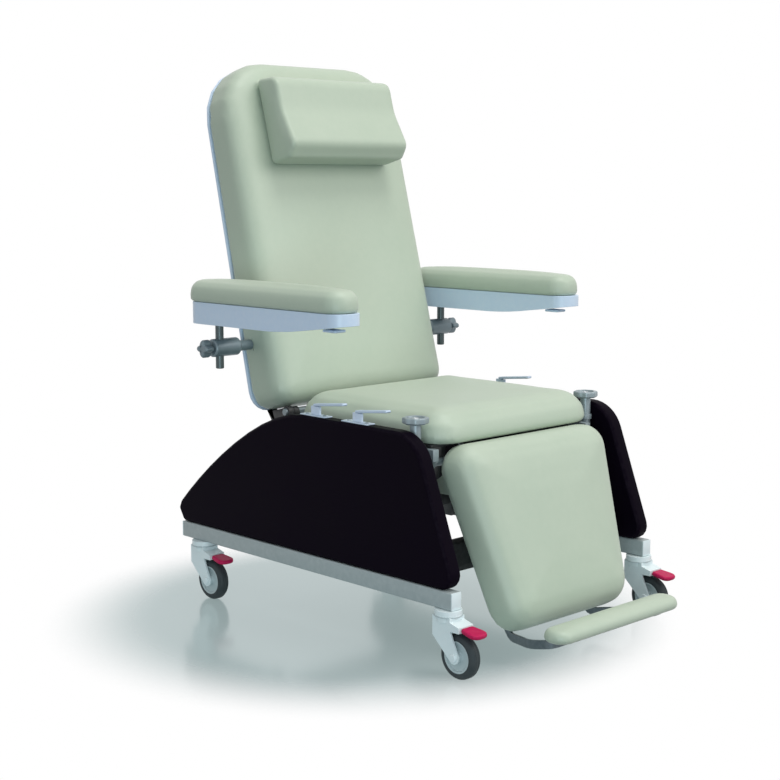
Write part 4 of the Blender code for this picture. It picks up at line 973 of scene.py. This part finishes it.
@dataclass(frozen=True)
class Arms:
    """Arm each side: clamp, star knob, post, shell and paddle."""

    steps: int = 56
    shell_round: float = 0.005
    star_lobes: int = 4
    star_cut: float = 0.0085
    paddle_round: float = 0.0012
    post_chamfer: float = 0.0015

    def build(self) -> None:
        """Builds both arms' hard pieces."""
        for side, sign in SIDES.items():
            self.clamp(f"arm_clamp_{side}", sign)
            self.star(f"star_knob_{side}", sign)
            self.post(f"arm_post_{side}")
            even_shading(refined(f"arm_shell_{side}", WHITE, self.shell_round, 4, 50.0))
            refined(f"arm_paddle_{side}", WHITE, self.paddle_round, 2, 30.0)
            self.slot("back_cushion", side, sign)

    def clamp(self, node: str, sign: int) -> None:
        """Clamp turned about its own axis: neck, chamfered barrel and end cap.

        Args:
            node: The clamp's node.
            sign: The side's sign.
        """
        low, high = corners(node)
        inner, outer = (low.x, high.x) if sign > 0 else (high.x, low.x)
        centre = Vector((0.0, middle(node).y, middle(node).z))
        radius = (high.z - low.z) / 2
        run = sign * (outer - inner)
        profile = [(0.0, 0.0), (0.013, 0.0), (0.013, 0.0375), (radius - 0.007, 0.0377), (radius, 0.0447)]
        profile += [(radius, run - 0.0035), (radius - 0.0035, run), (0.0, run)]
        shell = bmesh.new()
        turned = [(reach, inner + sign * at) for reach, at in profile]
        ring(shell, eased_corner(turned, 0.0015), centre, "X", self.steps)
        shown(f"{node}_skin", shell, [CLAMP], node)

    def star(self, node: str, sign: int) -> None:
        """Star knob with four rounded lobes, a hub behind and a dished face.

        Args:
            node: The knob's node.
            sign: The side's sign.
        """
        low, high = corners(node)
        inner, outer = (low.x, high.x) if sign > 0 else (high.x, low.x)
        centre = Vector((0.0, middle(node).y, middle(node).z))
        reach = (high.z - low.z) / 2
        run = sign * (outer - inner)
        profile = [(0.0, 0.0), (0.009, 0.0), (0.009, 0.005), (reach - 0.003, 0.005), (reach, 0.009)]
        profile += [(reach, run - 0.005), (reach - 0.004, run - 0.0006), (0.010, run)]
        profile += [(0.008, run - 0.002), (0.0, run - 0.002)]
        shell = bmesh.new()
        ring(shell, eased_corner([(out, inner + sign * at) for out, at in profile], 0.0018), centre, "X", 96)
        for vert in shell.verts:
            across = Vector((vert.co.y - centre.y, vert.co.z - centre.z))
            if across.length > 0.0105:
                wave = math.cos(self.star_lobes * math.atan2(across.y, across.x))
                across *= 1 - self.star_cut * (1 - wave) / 2 / reach
                vert.co.y, vert.co.z = centre.y + across.x, centre.z + across.y
        shown(f"{node}_skin", shell, [CLAMP], node)

    def post(self, node: str) -> None:
        """Arm post with a chamfered lower end.

        Args:
            node: The post's node.
        """
        low, high = corners(node)
        radius = (high.x - low.x) / 2
        profile = [(0.0, low.z), (radius - self.post_chamfer, low.z), (radius, low.z + self.post_chamfer)]
        profile += [(radius, high.z), (0.0, high.z)]
        shell = bmesh.new()
        ring(shell, profile, Vector((middle(node).x, middle(node).y, 0.0)), "Z", self.steps)
        shown(f"{node}_skin", shell, [POST], node)

    def slot(self, node: str, side: str, sign: int) -> None:
        """Black oval in the backrest's side, painted shade standing in for the dark opening where the
        clamp's neck goes in.

        Args:
            node: The backrest cushion's node.
            side: The side's name.
            sign: The side's sign.
        """
        at = middle(f"arm_clamp_{side}")
        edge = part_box(node)[1][0]
        turn = Matrix.Rotation(-BACK_LEAN, 4, "X") @ Matrix.Rotation(math.pi / 2, 4, "Y")
        place = Matrix.Translation((sign * (edge - 0.003), at.y, at.z)) @ turn
        shell = bmesh.new()
        # Flat black oval, flush with the side: painted shade of the opening.
        bmesh.ops.create_cone(shell, cap_ends=True, segments=48, radius1=0.010, radius2=0.010, depth=0.0062)
        for vert in shell.verts:
            vert.co.x += math.copysign(0.0135, vert.co.x)
        bmesh.ops.transform(shell, matrix=place, verts=shell.verts)
        rounded_edges(shell, 0.0008, 2, 60.0)
        shown(f"back_slot_{side}", shell, [RECESS_SHADE], node, replaced=False)


@dataclass(frozen=True)
class Backrest:
    """Hard pieces of the backrest."""

    shell_round: float = 0.002
    arm_round: float = 0.0012

    def build(self) -> None:
        """Builds the rear shell and the two arms."""
        even_shading(refined("back_shell", WHITE, self.shell_round, 3, 24.0))
        for side in SIDES:
            refined(f"back_arm_{side}", FRAME, self.arm_round, 2)


@dataclass(frozen=True)
class LegRest:
    """Hard pieces of the leg rest and the footrest."""

    plate_round: float = 0.0012

    def build(self) -> None:
        """Builds the carriage, the board and the straps."""
        refined("leg_carriage", ALLOY, self.plate_round, 2)
        refined("leg_board", VINYL, self.plate_round, 2)
        for side in SIDES:
            even_shading(refined(f"foot_strap_{side}", STRAP, self.plate_round, 2, 40.0))


@dataclass(frozen=True)
class GasSprings:
    """Gas springs under the seat."""

    cylinder_round: float = 0.0008
    rod_round: float = 0.0006

    def build(self) -> None:
        """Builds both springs."""
        for name in ("recline", "leg"):
            refined(f"{name}_spring_cylinder", FRAME, self.cylinder_round, 2, 50.0)
            refined(f"{name}_spring_rod", STEEL, self.rod_round, 2, 50.0)


@dataclass(frozen=True)
class Studio:
    """Camera, lamps, floor and background."""

    eye: tuple[float, float, float] = (-2.58681, -2.51934, 1.05817)
    aim: tuple[float, float, float] = (-0.12066, 0.03800, 0.55950)
    lens: float = 68.85
    floor_size: float = 8.0
    # Centre and fade radii of the floor's disc of painted shade round the chair.
    shade_disc_centre: tuple[float, float, float] = (-0.13, 0.13, 0.0)
    shade_disc_fade: tuple[float, float] = (0.50, 0.79)
    dome: tuple[float, float] = (0.10, 0.57)
    warm: tuple[float, float, float] = (1.0, 0.985, 0.95)
    cool: tuple[float, float, float] = (0.72, 0.92, 1.0)
    lamp_aim: tuple[float, float, float] = (0.0, 0.0, 0.6)

    def build(self) -> None:
        """Sets the whole studio."""
        self.camera()
        self.lamp("key", (2.6, -5.6, 4.6), 4.0, 185.0, self.warm)
        self.lamp("top", (0.3, -1.25, 5.3), 1.8, 88.0, self.warm)
        self.lamp("fill", (-3.1, -2.9, 0.4), 1.6, 46.0, self.cool)
        self.floor()
        self.world()

    def camera(self) -> None:
        """Camera at the photograph's viewing angle."""
        data = bpy.data.cameras.new("view")
        data.lens = self.lens
        data.sensor_width = 36.0
        data.clip_start = 0.05
        data.clip_end = 60.0
        view = bpy.data.objects.new("view", data)
        view.location = self.eye
        run = Vector(self.aim) - Vector(self.eye)
        view.rotation_euler = run.to_track_quat("-Z", "Y").to_euler()
        bpy.context.scene.collection.objects.link(view)
        bpy.context.scene.camera = view

    def lamp(
        self, name: str, at: tuple[float, float, float], size: float, power: float,
        colour: tuple[float, float, float],
    ) -> None:
        """Soft area lamp aimed at the chair's middle.

        Args:
            name: The lamp's name.
            at: Its place.
            size: The side of its square.
            power: Its power in watts.
            colour: Its colour.
        """
        data = bpy.data.lights.new(name, "AREA")
        data.size = size
        data.energy = power
        data.color = colour
        lamp = bpy.data.objects.new(name, data)
        lamp.location = at
        run = Vector(self.lamp_aim) - Vector(at)
        lamp.rotation_euler = run.to_track_quat("-Z", "Y").to_euler()
        bpy.context.scene.collection.objects.link(lamp)

    def floor(self) -> None:
        """Floor disc of painted shade round the chair, lifted by a painted glow, that fades into the white
        background.
        """
        shell = bmesh.new()
        bmesh.ops.create_grid(shell, x_segments=1, y_segments=1, size=self.floor_size / 2)
        mesh = bpy.data.meshes.new("floor")
        shell.to_mesh(mesh)
        shell.free()
        made = bpy.data.materials.new("floor_with_painted_shade")
        made.use_nodes = True
        tree = made.node_tree
        shader = tree.nodes["Principled BSDF"]
        # Dark grey base: painted shade, so the floor disc stands in for the soft shade round the chair.
        shader.inputs["Base Color"].default_value = (0.13, 0.145, 0.15, 1.0)
        shader.inputs["Roughness"].default_value = 0.16
        shader.inputs["Specular IOR Level"].default_value = 0.35
        # Even bluish glow: painted light that lifts the chair's shadow on the floor.
        shader.inputs["Emission Color"].default_value = (0.80, 1.0, 1.0, 1.0)
        shader.inputs["Emission Strength"].default_value = 0.30
        place = tree.nodes.new("ShaderNodeTexCoord")
        distance = tree.nodes.new("ShaderNodeVectorMath")
        distance.operation = "DISTANCE"
        distance.inputs[1].default_value = self.shade_disc_centre
        tree.links.new(place.outputs["Object"], distance.inputs[0])
        # Radial fade of the painted shade disc into the white background.
        fade = tree.nodes.new("ShaderNodeMapRange")
        fade.interpolation_type = "SMOOTHSTEP"
        fade.inputs["From Min"].default_value = self.shade_disc_fade[0]
        fade.inputs["From Max"].default_value = self.shade_disc_fade[1]
        tree.links.new(distance.outputs["Value"], fade.inputs["Value"])
        clear = tree.nodes.new("ShaderNodeBsdfTransparent")
        blend = tree.nodes.new("ShaderNodeMixShader")
        tree.links.new(fade.outputs["Result"], blend.inputs["Fac"])
        tree.links.new(shader.outputs["BSDF"], blend.inputs[1])
        tree.links.new(clear.outputs["BSDF"], blend.inputs[2])
        tree.links.new(blend.outputs["Shader"], tree.nodes["Material Output"].inputs["Surface"])
        mesh.materials.append(made)
        floor = bpy.data.objects.new("floor", mesh)
        bpy.context.scene.collection.objects.link(floor)

    def world(self) -> None:
        """White background, and a soft dome of light above the horizon for everything else."""
        world = bpy.data.worlds.new("studio")
        world.use_nodes = True
        tree = world.node_tree
        seen = tree.nodes["Background"]
        seen.inputs["Color"].default_value = (1.0, 1.0, 1.0, 1.0)
        seen.inputs["Strength"].default_value = 1.0
        below, above = (tree.nodes.new("ShaderNodeBackground") for _ in self.dome)
        for light, strength in zip((below, above), self.dome):
            light.inputs["Color"].default_value = (0.95, 0.98, 1.0, 1.0)
            light.inputs["Strength"].default_value = strength
        place = tree.nodes.new("ShaderNodeTexCoord")
        split = tree.nodes.new("ShaderNodeSeparateXYZ")
        tree.links.new(place.outputs["Generated"], split.inputs["Vector"])
        height = maths(tree, "MULTIPLY_ADD", split.outputs["Z"], 5.0, 0.5, clamp=True)
        dome = tree.nodes.new("ShaderNodeMixShader")
        tree.links.new(height, dome.inputs["Fac"])
        tree.links.new(below.outputs["Background"], dome.inputs[1])
        tree.links.new(above.outputs["Background"], dome.inputs[2])
        path = tree.nodes.new("ShaderNodeLightPath")
        either = maths(tree, "MAXIMUM", path.outputs["Is Camera Ray"], path.outputs["Is Transmission Ray"])
        shown_rays = maths(tree, "MAXIMUM", either, path.outputs["Is Glossy Ray"])
        blend = tree.nodes.new("ShaderNodeMixShader")
        tree.links.new(shown_rays, blend.inputs["Fac"])
        tree.links.new(dome.outputs["Shader"], blend.inputs[1])
        tree.links.new(seen.outputs["Background"], blend.inputs[2])
        tree.links.new(blend.outputs["Shader"], tree.nodes["World Output"].inputs["Surface"])
        bpy.context.scene.world = world


def main() -> None:
    """Builds the studio, every sub-assembly and the pads."""
    logging.basicConfig(level=logging.INFO, format="%(message)s")
    bpy.context.scene.view_settings.view_transform = "Standard"
    Studio().build()
    for assembly in (Base(), Casters(), Controls(), Arms(), Backrest(), LegRest(), GasSprings()):
        LOG.info("building %s", type(assembly).__name__)
        assembly.build()
    for pad in PADS:
        pad.build()


if __name__ == "__main__":
    main()
